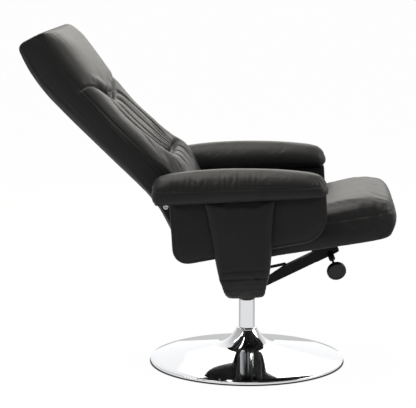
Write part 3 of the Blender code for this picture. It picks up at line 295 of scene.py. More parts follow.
dish_edge = BASE_RADIUS - RIM_ROUND
radii = [
    dish_edge - (dish_edge - BELL_RADIUS) * (i / DISH_STEPS) ** DISH_SPREAD for i in range(DISH_STEPS + 1)
]
neck_height = dish_height(BELL_RADIUS)
dish_profile = [
    (BASE_RADIUS - SHEET, RIM_LOW), (BASE_RADIUS - EDGE, RIM_LOW), (BASE_RADIUS, RIM_LOW + 0.0005),
    (BASE_RADIUS, RIM_TOP - RIM_ROUND), (BASE_RADIUS - EDGE, RIM_TOP - 0.0003),
]
dish_profile += [(radius, dish_height(radius)) for radius in radii]
dish_profile += [(BELL_RADIUS - EDGE, neck_height), (NECK_RADIUS, neck_height)]
dish_profile += [(NECK_RADIUS, neck_height - SHEET)]
dish_profile += [(min(radius, BASE_RADIUS - SHEET), dish_height(radius) - SHEET) for radius in radii[::-4]]
dish_profile.append(dish_profile[0])
dish = turned("chrome_dish", dish_profile, 144)
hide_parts("base_dish")

column = turned("chrome_column", [
    (COLUMN_BORE, COLUMN_FOOT), (COLUMN_RADIUS, COLUMN_FOOT), (COLUMN_RADIUS, COLUMN_FOOT + 0.0011),
    (COLUMN_RADIUS, COLUMN_TOP - 0.0030), (COLUMN_RADIUS, COLUMN_TOP - 0.0014),
    (COLUMN_RADIUS - EDGE, COLUMN_TOP - EDGE), (COLUMN_RADIUS - 0.0012, COLUMN_TOP),
    (COLUMN_BORE, COLUMN_TOP), (COLUMN_BORE, COLUMN_FOOT),
], 96)
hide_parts("column_tube")

collar = turned("chrome_collar", [
    (COLLAR_BORE, COLLAR_FOOT), (COLLAR_RADIUS - 0.0006, COLLAR_FOOT), (COLLAR_RADIUS, COLLAR_FOOT + 0.0006),
    (COLLAR_RADIUS, COLLAR_FOOT + 0.0024), (COLLAR_RADIUS - 0.0006, COLLAR_FOOT + 0.0035),
    (COLLAR_RADIUS - 0.0020, COLLAR_TOP - 0.0012), (COLLAR_RADIUS - 0.0036, COLLAR_TOP - 0.0002),
    (COLLAR_RADIUS - 0.0048, COLLAR_TOP), (COLLAR_BORE, COLLAR_TOP), (COLLAR_BORE, COLLAR_FOOT),
], 96)
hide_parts("column_collar")
for piece in (dish, column, collar):
    piece.data.materials.append(chrome)
    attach(piece, "base")


def dressed(material, *nodes):
    """Gives CAD solids that keep their own shape a finish."""
    for node in nodes:
        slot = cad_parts[node].material_slots[0]
        slot.link = "OBJECT"
        slot.material = material


# Moulded black rubber sheet: dull, with the faint bloom and grit that a floor pad picks up.
BLOOM_MM = 7.143
rubber, tree, shader, coordinates = new_material("moulded_black_rubber")
bloom = wired(tree, "ShaderNodeTexNoise", {"Vector": coordinates, "Scale": 1000 / BLOOM_MM, "Detail": 4.0})
tint = wired(
    tree, "ShaderNodeMix",
    {0: bloom.outputs["Fac"], 6: linear("#121213"), 7: linear("#242423")}, data_type="RGBA",
)
tree.links.new(tint.outputs[2], shader.inputs["Base Color"])
shader.inputs["Roughness"].default_value = 0.82
grit = wired(
    tree, "ShaderNodeBump", {"Height": bloom.outputs["Fac"], "Strength": 0.35, "Distance": 0.0004}
)
tree.links.new(grit.outputs[0], shader.inputs["Normal"])
dressed(rubber, "floor_pad")

# Cast grey iron, as it left the sand: dark, mottled and rough.
MOTTLE_MM = 11.11
iron, tree, shader, coordinates = new_material("sand_cast_iron")
mottle = wired(tree, "ShaderNodeTexNoise", {"Vector": coordinates, "Scale": 1000 / MOTTLE_MM, "Detail": 6.0})
tint = wired(
    tree, "ShaderNodeMix",
    {0: mottle.outputs["Fac"], 6: linear("#34332f"), 7: linear("#5b5854")}, data_type="RGBA",
)
tree.links.new(tint.outputs[2], shader.inputs["Base Color"])
shader.inputs["Roughness"].default_value = 0.7
sand = wired(
    tree, "ShaderNodeBump", {"Height": mottle.outputs["Fac"], "Strength": 0.5, "Distance": 0.0006}
)
tree.links.new(sand.outputs[0], shader.inputs["Normal"])
dressed(iron, "base_weight")

# Zinc-plated steel: a bright but soft grey metal with drawn streaks, on bolts, flange and spindle.
STREAK_MM = (1.111, 1.111, 16.67)
zinc, tree, shader, coordinates = new_material("zinc_plated_steel")
shader.inputs["Metallic"].default_value = 1.0
drawn = wired(
    tree, "ShaderNodeMapping", {"Vector": coordinates, "Scale": [1000 / size for size in STREAK_MM]}
)
streaks = wired(tree, "ShaderNodeTexNoise", {"Vector": drawn.outputs[0], "Scale": 1.0, "Detail": 3.0})
tint = wired(
    tree, "ShaderNodeMix",
    {0: streaks.outputs["Fac"], 6: linear("#9a9da0"), 7: linear("#c9cbcd")}, data_type="RGBA",
)
tree.links.new(tint.outputs[2], shader.inputs["Base Color"])
polish = wired(
    tree, "ShaderNodeMapRange", {"Value": streaks.outputs["Fac"], "To Min": 0.22, "To Max": 0.40}
)
tree.links.new(polish.outputs[0], shader.inputs["Roughness"])
dressed(zinc, "column_flange", "flange_bolt_1", "flange_bolt_2", "flange_bolt_3", "flange_bolt_4")

# Swivel: a steel spindle that turns in two nylon bushes in the column, held by a clip, under a black housing
# and two plates that clamp the bent frame between them with four bolts.
HOUSING_RADIUS = 0.0245
HOUSING_BORE = 0.0143
HOUSING_FOOT = 0.1968
HOUSING_TOP = 0.2470
dressed(zinc, "swivel_spindle", "spindle_clip")
for corner in ("front_left", "front_right", "rear_left", "rear_right"):
    dressed(zinc, f"frame_bolt_{corner}")

# Moulded black nylon: satin, with the spark-eroded texture of its mould, drawn coarser than it is so that it
# shows.
SPARK_MM = 0.7143
nylon, tree, shader, coordinates = new_material("moulded_black_nylon")
spark = wired(tree, "ShaderNodeTexVoronoi", {"Vector": coordinates, "Scale": 1000 / SPARK_MM})
tint = wired(
    tree, "ShaderNodeMix",
    {0: spark.outputs["Distance"], 6: linear("#080808"), 7: linear("#100f0e")}, data_type="RGBA",
)
tree.links.new(tint.outputs[2], shader.inputs["Base Color"])
shader.inputs["Roughness"].default_value = 0.42
shader.inputs["IOR"].default_value = 1.36
eroded = wired(
    tree, "ShaderNodeBump", {"Height": spark.outputs["Distance"], "Strength": 0.25, "Distance": 0.0002}
)
tree.links.new(eroded.outputs[0], shader.inputs["Normal"])
dressed(nylon, "upper_bush", "lower_bush", "pivot_washer_left", "pivot_washer_right")

# Black powder coat on mild steel: even, semi-gloss, with a slight orange peel.
PEEL_MM = 2.381
powder, tree, shader, coordinates = new_material("black_powder_coat")
peel = wired(tree, "ShaderNodeTexNoise", {"Vector": coordinates, "Scale": 1000 / PEEL_MM, "Detail": 2.0})
tint = wired(
    tree, "ShaderNodeMix",
    {0: peel.outputs["Fac"], 6: linear("#050505"), 7: linear("#0a0a0a")}, data_type="RGBA",
)
tree.links.new(tint.outputs[2], shader.inputs["Base Color"])
shader.inputs["Roughness"].default_value = 0.48
shader.inputs["IOR"].default_value = 1.28
ripple = wired(
    tree, "ShaderNodeBump", {"Height": peel.outputs["Fac"], "Strength": 0.20, "Distance": 0.0003}
)
tree.links.new(ripple.outputs[0], shader.inputs["Normal"])
dressed(powder, "swivel_plate", "clamp_plate")

housing = turned("swivel_housing_cover", [
    (HOUSING_BORE, HOUSING_FOOT), (HOUSING_RADIUS - 0.0007, HOUSING_FOOT),
    (HOUSING_RADIUS, HOUSING_FOOT + 0.0007), (HOUSING_RADIUS, HOUSING_FOOT + 0.0022),
    (HOUSING_RADIUS, HOUSING_TOP), (HOUSING_BORE, HOUSING_TOP), (HOUSING_BORE, HOUSING_FOOT),
], 72)
housing.data.materials.append(powder)
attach(housing, "carrier")
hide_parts("swivel_housing")

# Bent frame: one U of laminated wood in two halves, its limbs flaring upwards, wrapped in foam and black
# leather that creases where each limb turns from the foot into the leg.
FRAME_LEVEL = 0.2565
FRAME_TILT = -3.5
FRAME_TURN = Matrix.Translation((0.0, 0.0, FRAME_LEVEL)) @ Matrix.Rotation(math.radians(FRAME_TILT), 4, "X")
FOOT_FREE = (0.11, 0.17)
FOOT_PADDING = 0.004
CREASE_TOP = 0.3185
CREASE_SLOPE = -0.0625
LEG_MIDDLE = 0.002
# Across the leg: depth, place above the main crease, width. A negative depth stands proud.
LEG_CREASES = ((0.0030, 0.0, 0.0032), (-0.0012, 0.012, 0.008), (-0.0006, -0.012, 0.008))
UPPER_WRINKLE = (0.0009, 0.024, 0.0045)
LOWER_WRINKLE = (0.0006, -0.024, 0.004)
WRINKLE_SWAY = 0.0015
WRINKLE_TURNS = 90.0
COVER_SMOOTHING = 4
SEWN_SMOOTHING = 50
CLOTH_PRESSURE = 4.0
CLOTH_FRAMES = 20


def points_of(piece):
    points = np.empty(len(piece.data.vertices) * 3)
    piece.data.vertices.foreach_get("co", points)
    return points.reshape(-1, 3)


def normals_of(piece):
    normals = np.empty(len(piece.data.vertices) * 3)
    piece.data.vertices.foreach_get("normal", normals)
    return normals.reshape(-1, 3)


def set_points(piece, points):
    piece.data.vertices.foreach_set("co", points.ravel())
    piece.data.update()


def in_axes(points, turn):
    """Points seen from the tilted axes of a part of the chair."""
    back = np.array(turn.inverted())
    return points @ back[:3, :3].T + back[:3, 3]


def rise(value, low, high):
    """Runs smoothly from 0 below low to 1 above high."""
    share = np.clip((value - low) / (high - low), 0.0, 1.0)
    return share * share * (3 - 2 * share)


def dent(distance, width):
    """A soft bell of height 1, that wide from its middle to where it has mostly died away."""
    return np.exp(-((distance / width) ** 2))


def creased(distance, *creases):
    """The depth of creases side by side, each given by its depth, its place and its width."""
    return sum(depth * dent(distance - place, width) for depth, place, width in creases)


def finished(piece, kind, **settings):
    """Adds a modifier to the piece and applies it."""
    bpy.ops.object.select_all(action="DESELECT")
    piece.select_set(True)
    bpy.context.view_layer.objects.active = piece
    modifier = piece.modifiers.new(kind.lower(), kind)
    for name, value in settings.items():
        setattr(modifier, name, value)
    bpy.ops.object.modifier_apply(modifier=modifier.name)


def covered(name, nodes, grid, most, held, slack=0.0, cut=None, eased=None):
    """A leather cover over copies of CAD solids, blown tight by pressure as foam fills it.

    The copies are joined, cut off below a plane if there is one, remeshed, smoothed where they are eased, and
    drawn in by the slack. No point moves further than the most, and held points stay where they are.
    """
    bpy.ops.object.select_all(action="DESELECT")
    for node in nodes:
        piece = bpy.data.objects.new(name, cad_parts[node].data.copy())
        scene.collection.objects.link(piece)
        piece.select_set(True)
        bpy.context.view_layer.objects.active = piece
    if len(nodes) > 1:
        bpy.ops.object.join()
    piece = bpy.context.object
    piece.name = name
    piece.data.materials.clear()
    bpy.ops.object.mode_set(mode="EDIT")
    bpy.ops.mesh.select_all(action="SELECT")
    bpy.ops.mesh.remove_doubles(threshold=0.00001)
    if cut:
        bpy.ops.mesh.bisect(plane_co=cut[0], plane_no=cut[1], use_fill=True, clear_inner=True)
    bpy.ops.object.mode_set(mode="OBJECT")
    piece.data.remesh_voxel_size = grid
    bpy.ops.object.voxel_remesh()
    weigh(piece, "held", held(points_of(piece), normals_of(piece)))
    finished(piece, "SMOOTH", factor=0.5, iterations=COVER_SMOOTHING)
    if eased:
        weigh(piece, "eased", eased(points_of(piece), normals_of(piece)))
        finished(piece, "SMOOTH", factor=0.5, iterations=SEWN_SMOOTHING, vertex_group="eased")
    if slack:
        finished(
            piece, "DISPLACE", strength=-slack, mid_level=0.0, vertex_group="held", invert_vertex_group=True
        )
    blown_tight(piece, most)
    finished(piece, "SUBSURF", levels=1, render_levels=1)
    piece.vertex_groups.clear()
    bpy.ops.object.shade_smooth()
    return piece


def weigh(piece, name, weights):
    """A vertex group with one weight for each point."""
    group = piece.vertex_groups.new(name=name)
    for index, weight in enumerate(weights):
        group.add([index], weight, "REPLACE")


def blown_tight(piece, most):
    """Cloth under pressure, with its gravity off."""
    start = points_of(piece)
    scene.frame_set(1)
    bpy.ops.object.modifier_add(type="CLOTH")
    cloth = piece.modifiers["Cloth"]
    cloth.settings.vertex_group_mass = "held"
    cloth.settings.quality = 3
    cloth.settings.use_pressure = True
    cloth.settings.uniform_pressure_force = CLOTH_PRESSURE
    cloth.settings.effector_weights.gravity = 0.0
    cloth.point_cache.frame_end = CLOTH_FRAMES
    for moment in range(1, CLOTH_FRAMES + 1):
        scene.frame_set(moment)
    bpy.ops.object.modifier_apply(modifier="Cloth")
    scene.frame_set(1)
    moved = points_of(piece) - start
    distance = np.maximum(np.linalg.norm(moved, axis=1, keepdims=True), 1e-9)
    set_points(piece, start + moved * most * np.tanh(distance / most) / distance)


def pressed(piece, depth):
    """Moves each point of a cover in along its normal by a depth worked out for every point."""
    set_points(piece, points_of(piece) - normals_of(piece) * depth[:, None])


def mirrored(piece, name):
    """The same piece for the sitter's left side."""
    other = bpy.data.objects.new(name, piece.data.copy())
    scene.collection.objects.link(other)
    bpy.ops.object.select_all(action="DESELECT")
    other.select_set(True)
    bpy.context.view_layer.objects.active = other
    bpy.ops.object.mode_set(mode="EDIT")
    bpy.ops.mesh.select_all(action="SELECT")
    bpy.ops.transform.resize(value=(-1.0, 1.0, 1.0), center_override=(0.0, 0.0, 0.0))
    bpy.ops.mesh.normals_make_consistent(inside=False)
    bpy.ops.object.mode_set(mode="OBJECT")
    return other


# Black bonded leather, embossed with a pebble grain and sealed with a satin top coat: nearly black where it
# is looked at squarely, and grey with reflected light where it is looked along. The pebbles break up what the
# coat mirrors, so its IOR is low. They are 1.5 mm wide, and drawn twice as wide so that they show at all.
PEBBLE_MM = 3.030
WEAR_MM = 111.1
CREASE_MM = 21.74
leather, tree, shader, coordinates = new_material("black_pebbled_leather")
pebbles = wired(
    tree, "ShaderNodeTexVoronoi", {"Vector": coordinates, "Scale": 1000 / PEBBLE_MM, "Randomness": 1.0},
    feature="SMOOTH_F1",
)
wear = wired(tree, "ShaderNodeTexNoise", {"Vector": coordinates, "Scale": 1000 / WEAR_MM, "Detail": 5.0})
creases = wired(
    tree, "ShaderNodeTexNoise",
    {
        "Vector": coordinates, "Scale": 1000 / CREASE_MM, "Detail": 4.0, "Roughness": 0.6,
        "Distortion": 0.4,
    },
)
tint = wired(
    tree, "ShaderNodeMix",
    {0: wear.outputs["Fac"], 6: linear("#191a1b"), 7: linear("#222324")}, data_type="RGBA",
)
tree.links.new(tint.outputs[2], shader.inputs["Base Color"])
satin = wired(
    tree, "ShaderNodeMapRange", {"Value": creases.outputs["Fac"], "To Min": 0.41, "To Max": 0.51}
)
tree.links.new(satin.outputs[0], shader.inputs["Roughness"])
shader.inputs["IOR"].default_value = 1.25
grain = wired(
    tree, "ShaderNodeBump", {"Height": pebbles.outputs["Distance"], "Strength": 0.16, "Distance": 0.0010}
)
folds = wired(
    tree, "ShaderNodeBump",
    {
        "Height": creases.outputs["Fac"], "Strength": 0.12, "Distance": 0.003,
        "Normal": grain.outputs[0],
    },
)
tree.links.new(folds.outputs[0], shader.inputs["Normal"])


def leg_held(points, normals):
    """The foot between the plates, and the inner face that lies on the side panel."""
    return np.maximum(1.0 - rise(np.abs(points[:, 0]), *FOOT_FREE), rise(normals[:, 0], 0.5, 0.8))


leg_right = covered("leg_wrap_right", ["leg_right"], grid=0.0045, most=0.003, held=leg_held)
points = points_of(leg_right)
normals = normals_of(leg_right)
along = points[:, 1] - LEG_MIDDLE
above = points[:, 2] - CREASE_TOP - CREASE_SLOPE * along
sway = WRINKLE_SWAY * np.sin(points[:, 1] * WRINKLE_TURNS)
leg_dents = creased(above, *LEG_CREASES)
leg_dents += creased(above - sway, UPPER_WRINKLE) + creased(above + sway, LOWER_WRINKLE)
leg_dents *= rise(-normals[:, 0], 0.35, 0.8) * (1.0 - 0.5 * rise(np.abs(along), 0.045, 0.075))
padding = rise(-normals[:, 2], 0.2, 0.7) * rise(np.abs(points[:, 0]), *FOOT_FREE)
pressed(leg_right, leg_dents - FOOT_PADDING * padding)
leg_left = mirrored(leg_right, "leg_wrap_left")
for piece, node in ((leg_right, "leg_right"), (leg_left, "leg_left")):
    piece.data.materials.append(leather)
    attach(piece, "carrier")
    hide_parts(node)

# Arms: a board on each leg under a thick foam pad. The cover is cut in two bands that meet at mid height of
# the outer face and the ends in a seam sewn twice over. The upper band is gathered into it, and the inner
# face is plain.
ARM_CENTRE = -0.309
ARM_LEVEL = 0.284
ARM_SEAM = 0.3203
ARM_SEAM_SLOPE = 0.0236
ARM_FRONT = -0.2566
ARM_REAR = 0.239
ARM_HALF = 0.056
# Depth, place and width of the seam with the roll of the lower band, and of the lower edge.
ARM_CREASES = ((0.0016, 0.0, 0.0024), (-0.0012, -0.016, 0.011))
ARM_LOWER_EDGE = (0.0035, ARM_LEVEL, 0.009)
ARM_GATHERED = (-0.055, 0.175)
ARM_GATHERS = {
    "lean": (-0.30, 0.30), "width": (0.0032, 0.0048), "depth": (0.0011, 0.0024), "reach": (0.018, 0.030),
    "gap": (0.011, 0.020),
}
ARM_GATHER_MIDDLE = 0.014
# Gathers round the front end, above and below the seam. Turns and widths are angles, from straight ahead.
FRONT_END = (ARM_FRONT + 0.040, ARM_FRONT + 0.070)
UPPER_END_GATHERS = {
    "turns": (-1.25, -1.0, -0.72, -0.4, -0.05, 0.3, 0.62, 0.95, 1.25),
    "depth": 0.0014, "width": 0.08, "middle": 0.012, "reach": 0.020,
}
LOWER_END_GATHERS = {
    "turns": (-1.1, -0.5, 0.15, 0.8), "depth": 0.0008, "width": 0.07, "middle": -0.010, "reach": 0.012,
}
ARM_ROW_OFFSET = 0.0042
ARM_ROW_START = math.radians(45)
THREAD_RADIUS = 0.0005
STITCH_PITCH = 0.0048
STITCH_SHARE = 0.78

# Waxed black polyester thread: a dull black, with the glint of its twist painted into its colour as lighter
# bands. A wave's bands lie pi / 10 of a unit apart at scale 1.
TWIST_MM = 0.349
thread, tree, shader, coordinates = new_material("waxed_black_thread")
painted_twist_glint = wired(
    tree, "ShaderNodeTexWave", {"Vector": coordinates, "Scale": 100 * math.pi / TWIST_MM, "Distortion": 0.5}
)
tint = wired(
    tree, "ShaderNodeMix",
    {0: painted_twist_glint.outputs["Fac"], 6: linear("#101010"), 7: linear("#242424")}, data_type="RGBA",
)
tree.links.new(tint.outputs[2], shader.inputs["Base Color"])
shader.inputs["Roughness"].default_value = 0.6
shader.inputs["IOR"].default_value = 1.35


def stitched(name, cover, rows):
    """Rows of stitches, each one stitch repeated along a curve whose points are drawn onto the cover."""
    bpy.context.view_layer.update()
    sewn_rows = []
    for row_points in rows:
        line = bpy.data.curves.new(name, "CURVE")
        line.dimensions = "3D"
        spline = line.splines.new("POLY")
        spline.points.add(len(row_points) - 1)
        for spot, point in zip(spline.points, row_points):
            spot.co = (*cover.closest_point_on_mesh(point)[1], 1.0)
        seam = bpy.data.objects.new(name, line)
        scene.collection.objects.link(seam)
        bpy.ops.object.select_all(action="DESELECT")
        bpy.ops.mesh.primitive_uv_sphere_add(
            segments=6, ring_count=4, radius=THREAD_RADIUS, enter_editmode=True
        )
        bpy.ops.mesh.select_all(action="SELECT")
        bpy.ops.transform.resize(value=(STITCH_SHARE * STITCH_PITCH / (2 * THREAD_RADIUS), 1.0, 1.0))
        bpy.ops.object.mode_set(mode="OBJECT")
        row = bpy.context.object
        finished(
            row, "ARRAY", fit_type="FIT_CURVE", curve=seam, use_relative_offset=False,
            use_constant_offset=True, constant_offset_displace=(STITCH_PITCH, 0.0, 0.0),
        )
        finished(row, "CURVE", object=seam, deform_axis="POS_X")
        bpy.data.objects.remove(seam)
        sewn_rows.append(row)
    bpy.ops.object.select_all(action="DESELECT")
    for row in sewn_rows:
        row.select_set(True)
    if len(sewn_rows) > 1:
        bpy.ops.object.join()
    piece = bpy.context.object
    piece.name = name
    bpy.ops.object.shade_smooth()
    piece.data.materials.append(thread)
    return piece


def gathered(draw, along, height, ends, sizes, middle, strength):
    """Small folds that stand on a seam between two ends, each of its own lean, width, depth and reach."""
    gathers = np.zeros(len(along))
    place = ends[0]
    while place < ends[1]:
        lean = draw.uniform(*sizes["lean"])
        width = draw.uniform(*sizes["width"])
        depth = draw.uniform(*sizes["depth"]) * strength(place)
        reach = draw.uniform(*sizes["reach"])
        gathers += depth * dent(along - place - lean * height, width) * dent(height - middle, reach)
        place += draw.uniform(*sizes["gap"])
    return gathers


def end_gathered(around, height, turns, depth, width, middle, reach):
    """Folds that stand side by side round an arm's end."""
    return depth * sum(dent(around - turn, width) for turn in turns) * dent(height - middle, reach)


def above_arm_seam(local):
    return local[:, 2] - ARM_SEAM - ARM_SEAM_SLOPE * local[:, 1]


def arm_held(points, normals):
    """The flat bottom that lies on the leg and the panel."""
    return rise(-normals[:, 2], 0.6, 0.9)


def arm_eased(points, normals):
    """The two bands at their seam."""
    height = above_arm_seam(in_axes(points, FRAME_TURN))
    return rise(height, -0.022, -0.014) * (1.0 - rise(height, 0.020, 0.030))


def arm_row(offset):
    """A line round the arm's ends and outer face, that far above its seam."""
    sides = np.linspace(ARM_FRONT + ARM_HALF, ARM_REAR - ARM_HALF, 90)
    ends = np.linspace(ARM_ROW_START, math.pi, 30)[:-1]
    y = np.concatenate((
        sides[0] - ARM_HALF * np.sin(ends), sides, sides[-1] + ARM_HALF * np.sin(ends[::-1])
    ))
    reach = np.concatenate((np.cos(ends), -np.ones(len(sides)), np.cos(ends[::-1])))
    z = ARM_SEAM + ARM_SEAM_SLOPE * y + offset
    return [FRAME_TURN @ Vector(point) for point in zip(ARM_CENTRE + ARM_HALF * reach, y, z)]


arm_right = covered(
    "arm_cover_right", ["arm_pad_right", "arm_board_right"],
    grid=0.0045, most=0.005, held=arm_held, slack=0.0005, eased=arm_eased,
)
normals = normals_of(arm_right)
local = in_axes(points_of(arm_right), FRAME_TURN)
height = above_arm_seam(local)
side = rise(np.hypot(normals[:, 0], normals[:, 1]), 0.25, 0.7)
outer = 1.0 - rise(normals[:, 0], 0.35, 0.75)
gathers = gathered(
    random.Random(4), local[:, 1], height, ARM_GATHERED, ARM_GATHERS, ARM_GATHER_MIDDLE, lambda place: 1.0
)
around = np.arctan2(local[:, 0] - ARM_CENTRE, -(local[:, 1] - ARM_FRONT - ARM_HALF))
front_end = 1.0 - rise(local[:, 1], *FRONT_END)
gathers += front_end * end_gathered(around, height, **UPPER_END_GATHERS)
arm_dents = creased(height, *ARM_CREASES) + gathers * rise(height, -0.003, 0.004)
arm_dents += front_end * end_gathered(around, height, **LOWER_END_GATHERS)
pressed(arm_right, (arm_dents * outer + creased(local[:, 2], ARM_LOWER_EDGE)) * side)
arm_left = mirrored(arm_right, "arm_cover_left")
for piece, node in ((arm_right, "right"), (arm_left, "left")):
    piece.data.materials.append(leather)
    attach(piece, "carrier")
    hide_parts(f"arm_pad_{node}", f"arm_board_{node}")

arm_stitches = stitched(
    "arm_stitches_right", arm_right, [arm_row(-ARM_ROW_OFFSET), arm_row(ARM_ROW_OFFSET)]
)
for piece in (arm_stitches, mirrored(arm_stitches, "arm_stitches_left")):
    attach(piece, "carrier")

# Side panels: board and thin foam in black leather between each leg and the seat. A seam runs round the outer
# face, close to its edge. The corners of its outline are (y, z, radius) in the frame's tilted axes.
PANEL_SEAM = 0.0095
PANEL_FACE = -0.3000
PANEL_EDGES = ((0.192, 0.2837, 0.0), (0.192, 0.0987, 0.042), (-0.248, 0.1567, 0.078), (-0.248, 0.2837, 0.0))
PANEL_CORNERS = tuple(zip(PANEL_EDGES, PANEL_EDGES[1:], PANEL_EDGES[2:]))
PANEL_ROW_STEP = 0.006
ARC_STEPS = 12
SEAM_DEPTH = 0.0013
SEAM_WIDTH = 0.0026
PANEL_CREASES = ((SEAM_DEPTH, PANEL_SEAM, SEAM_WIDTH), (-0.0005, 0.0, 0.007))


def panel_held(points, normals):
    """The edge all round, where board and foam end."""
    return 1.0 - rise(np.abs(normals[:, 0]), 0.6, 0.9)


def corner_arc(before, corner, after):
    """A corner's point, the ways from it along both edges, half its angle and the centre of its arc."""
    here = Vector(corner[:2])
    back = (Vector(before[:2]) - here).normalized()
    ahead = (Vector(after[:2]) - here).normalized()
    half = back.angle(ahead) / 2
    return here, back, ahead, half, here + (back + ahead).normalized() * corner[2] / math.sin(half)


def edge_distance(y, z):
    """How far inside the panel's outline each point lies."""
    inside = np.full(len(y), 1.0)
    for (y1, z1, _), (y2, z2, _) in zip(PANEL_EDGES, PANEL_EDGES[1:]):
        length = math.hypot(y2 - y1, z2 - z1)
        inside = np.minimum(inside, ((y2 - y1) * (z - z1) - (z2 - z1) * (y - y1)) / -length)
    for before, corner, after in PANEL_CORNERS:
        _, back, ahead, half, centre = corner_arc(before, corner, after)
        past = np.stack((y - centre.x, z - centre.y), axis=1)
        reach = np.linalg.norm(past, axis=1)
        in_corner = -past @ np.array((back + ahead).normalized()) > reach * math.sin(half)
        inside = np.where(in_corner, corner[2] - reach, inside)
    return inside


def panel_row():
    """The line of the seam on the panel's outer face."""
    seam_line = [Vector(PANEL_EDGES[0][:2]) - Vector((PANEL_SEAM, 0.0))]
    for before, corner, after in PANEL_CORNERS:
        here, back, ahead, half, centre = corner_arc(before, corner, after)
        starts = here + back * corner[2] / math.tan(half) - centre
        ends = here + ahead * corner[2] / math.tan(half) - centre
        for i in range(ARC_STEPS + 1):
            way = starts.lerp(ends, i / ARC_STEPS).normalized()
            seam_line.append(centre + way * (corner[2] - PANEL_SEAM))
    seam_line.append(Vector(PANEL_EDGES[-1][:2]) + Vector((PANEL_SEAM, 0.0)))
    spots = []
    for spot, following in zip(seam_line, seam_line[1:]):
        steps = max(1, round((following - spot).length / PANEL_ROW_STEP))
        spots += [spot.lerp(following, i / steps) for i in range(steps)]
    return [FRAME_TURN @ Vector((PANEL_FACE, spot.x, spot.y)) for spot in spots]


panel_right = covered(
    "side_panel_cover_right", ["side_panel_right"], grid=0.0050, most=0.0025, held=panel_held
)
local = in_axes(points_of(panel_right), FRAME_TURN)
outer = rise(-normals_of(panel_right)[:, 0], 0.6, 0.9)
pressed(panel_right, outer * creased(edge_distance(local[:, 1], local[:, 2]), *PANEL_CREASES))
panel_left = mirrored(panel_right, "side_panel_cover_left")
for piece, node in ((panel_right, "side_panel_right"), (panel_left, "side_panel_left")):
    piece.data.materials.append(leather)
    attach(piece, "carrier")
    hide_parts(node)

panel_stitches = stitched("panel_stitches_right", panel_right, [panel_row()])
for piece in (panel_stitches, mirrored(panel_stitches, "panel_stitches_left")):
    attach(piece, "carrier")

# Glide rail: a folded steel channel from the swivel housing up to the seat's front, with a round brace, the
# shoe that slides on it, and a clamp screw with a moulded knob to lock the shoe.
KNOB_CENTRE = 0.0941
KNOB_RIBS = 24
RIB_DEPTH = 0.035
RIB_START = (0.0262, 0.0280)
KNOB_POINT = Vector((-0.0156, -0.24722, 0.33372))
KNOB_AXIS = Vector((-0.90631, -0.18989, -0.37756))
dressed(powder, "slide_rail", "rail_brace", "slide_shoe", "seat_hook_left", "seat_hook_right")
dressed(zinc, "keeper_pin", "knob_screw")
knob = turned("clamp_knob", [
    (0.0080, -0.0110), (0.0088, -0.0100), (0.0088, -0.0085), (0.0240, -0.0085), (0.0272, -0.0076),
    (0.0285, -0.0050), (0.0285, 0.0052), (0.0272, 0.0078), (0.0245, 0.0088), (0.0215, 0.0086),
    (0.0208, 0.0078), (0.0120, 0.0078), (0.0, 0.0080),
], 96, capped=True)
points = points_of(knob)
rim = rise(np.hypot(points[:, 0], points[:, 1]), *RIB_START)
ribs = 0.5 + 0.5 * np.cos(KNOB_RIBS * np.arctan2(points[:, 1], points[:, 0]))
narrowed = 1 - RIB_DEPTH * rim * ribs
set_points(knob, points * np.column_stack((narrowed, narrowed, np.ones(len(points)))))
knob_turn = KNOB_AXIS.to_track_quat("Z", "Y").to_matrix().to_4x4()
knob.data.transform(Matrix.Translation(KNOB_POINT + KNOB_AXIS * KNOB_CENTRE) @ knob_turn)
knob.data.materials.append(nylon)
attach(knob, "knob")
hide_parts("knob")

# Seat: a foam block on a board in black leather, rolled over its front. The top panel is gathered into the
# seam that runs round its side, most of all near the front corners.
SEAT_PLACE = (0.0, -0.059, 0.364)
SEAT_TILT = -9.3
SEAT_TURN = Matrix.Translation(SEAT_PLACE) @ Matrix.Rotation(math.radians(SEAT_TILT), 4, "X")
SEAT_SEAM = 0.074
SEAT_HALF = 0.255
SEAT_FRONT = -0.394
SEAT_CREASE = (0.0022, 0.0, 0.0036)
SEAT_GATHERED = (SEAT_FRONT + 0.012, SEAT_FRONT + 0.18)
SEAT_GATHERS = {
    "lean": (-0.3, 0.7), "width": (0.0040, 0.0062), "depth": (0.0020, 0.0038), "reach": (0.012, 0.022),
    "gap": (0.013, 0.026),
}
SEAT_GATHER_MIDDLE = 0.008
CORNER_LENGTH = 0.06
CORNER_FADE = 0.12
NOSE_GATHERED = SEAT_HALF - 0.02
NOSE_GATHERS = {
    "width": (0.0050, 0.0080), "depth": (0.0006, 0.0016), "lean": (-0.4, 0.4), "gap": (0.018, 0.040),
}
NOSE_REACH = 0.020
NOSE_PADDING = 0.006
NOSE_CENTRE = (SEAT_FRONT + 0.060, 0.061)
NOSE_WAY = math.radians(45)
NOSE_SPREAD = math.radians(28)


def seat_held(points, normals):
    """The flat bottom over the board."""
    return rise(-normals[:, 2], 0.6, 0.9)


def near_front(place):
    """Full strength at the front corners, dying away along the side."""
    return 1.0 - min(max((place - SEAT_FRONT - CORNER_LENGTH) / CORNER_FADE, 0.0), 1.0)


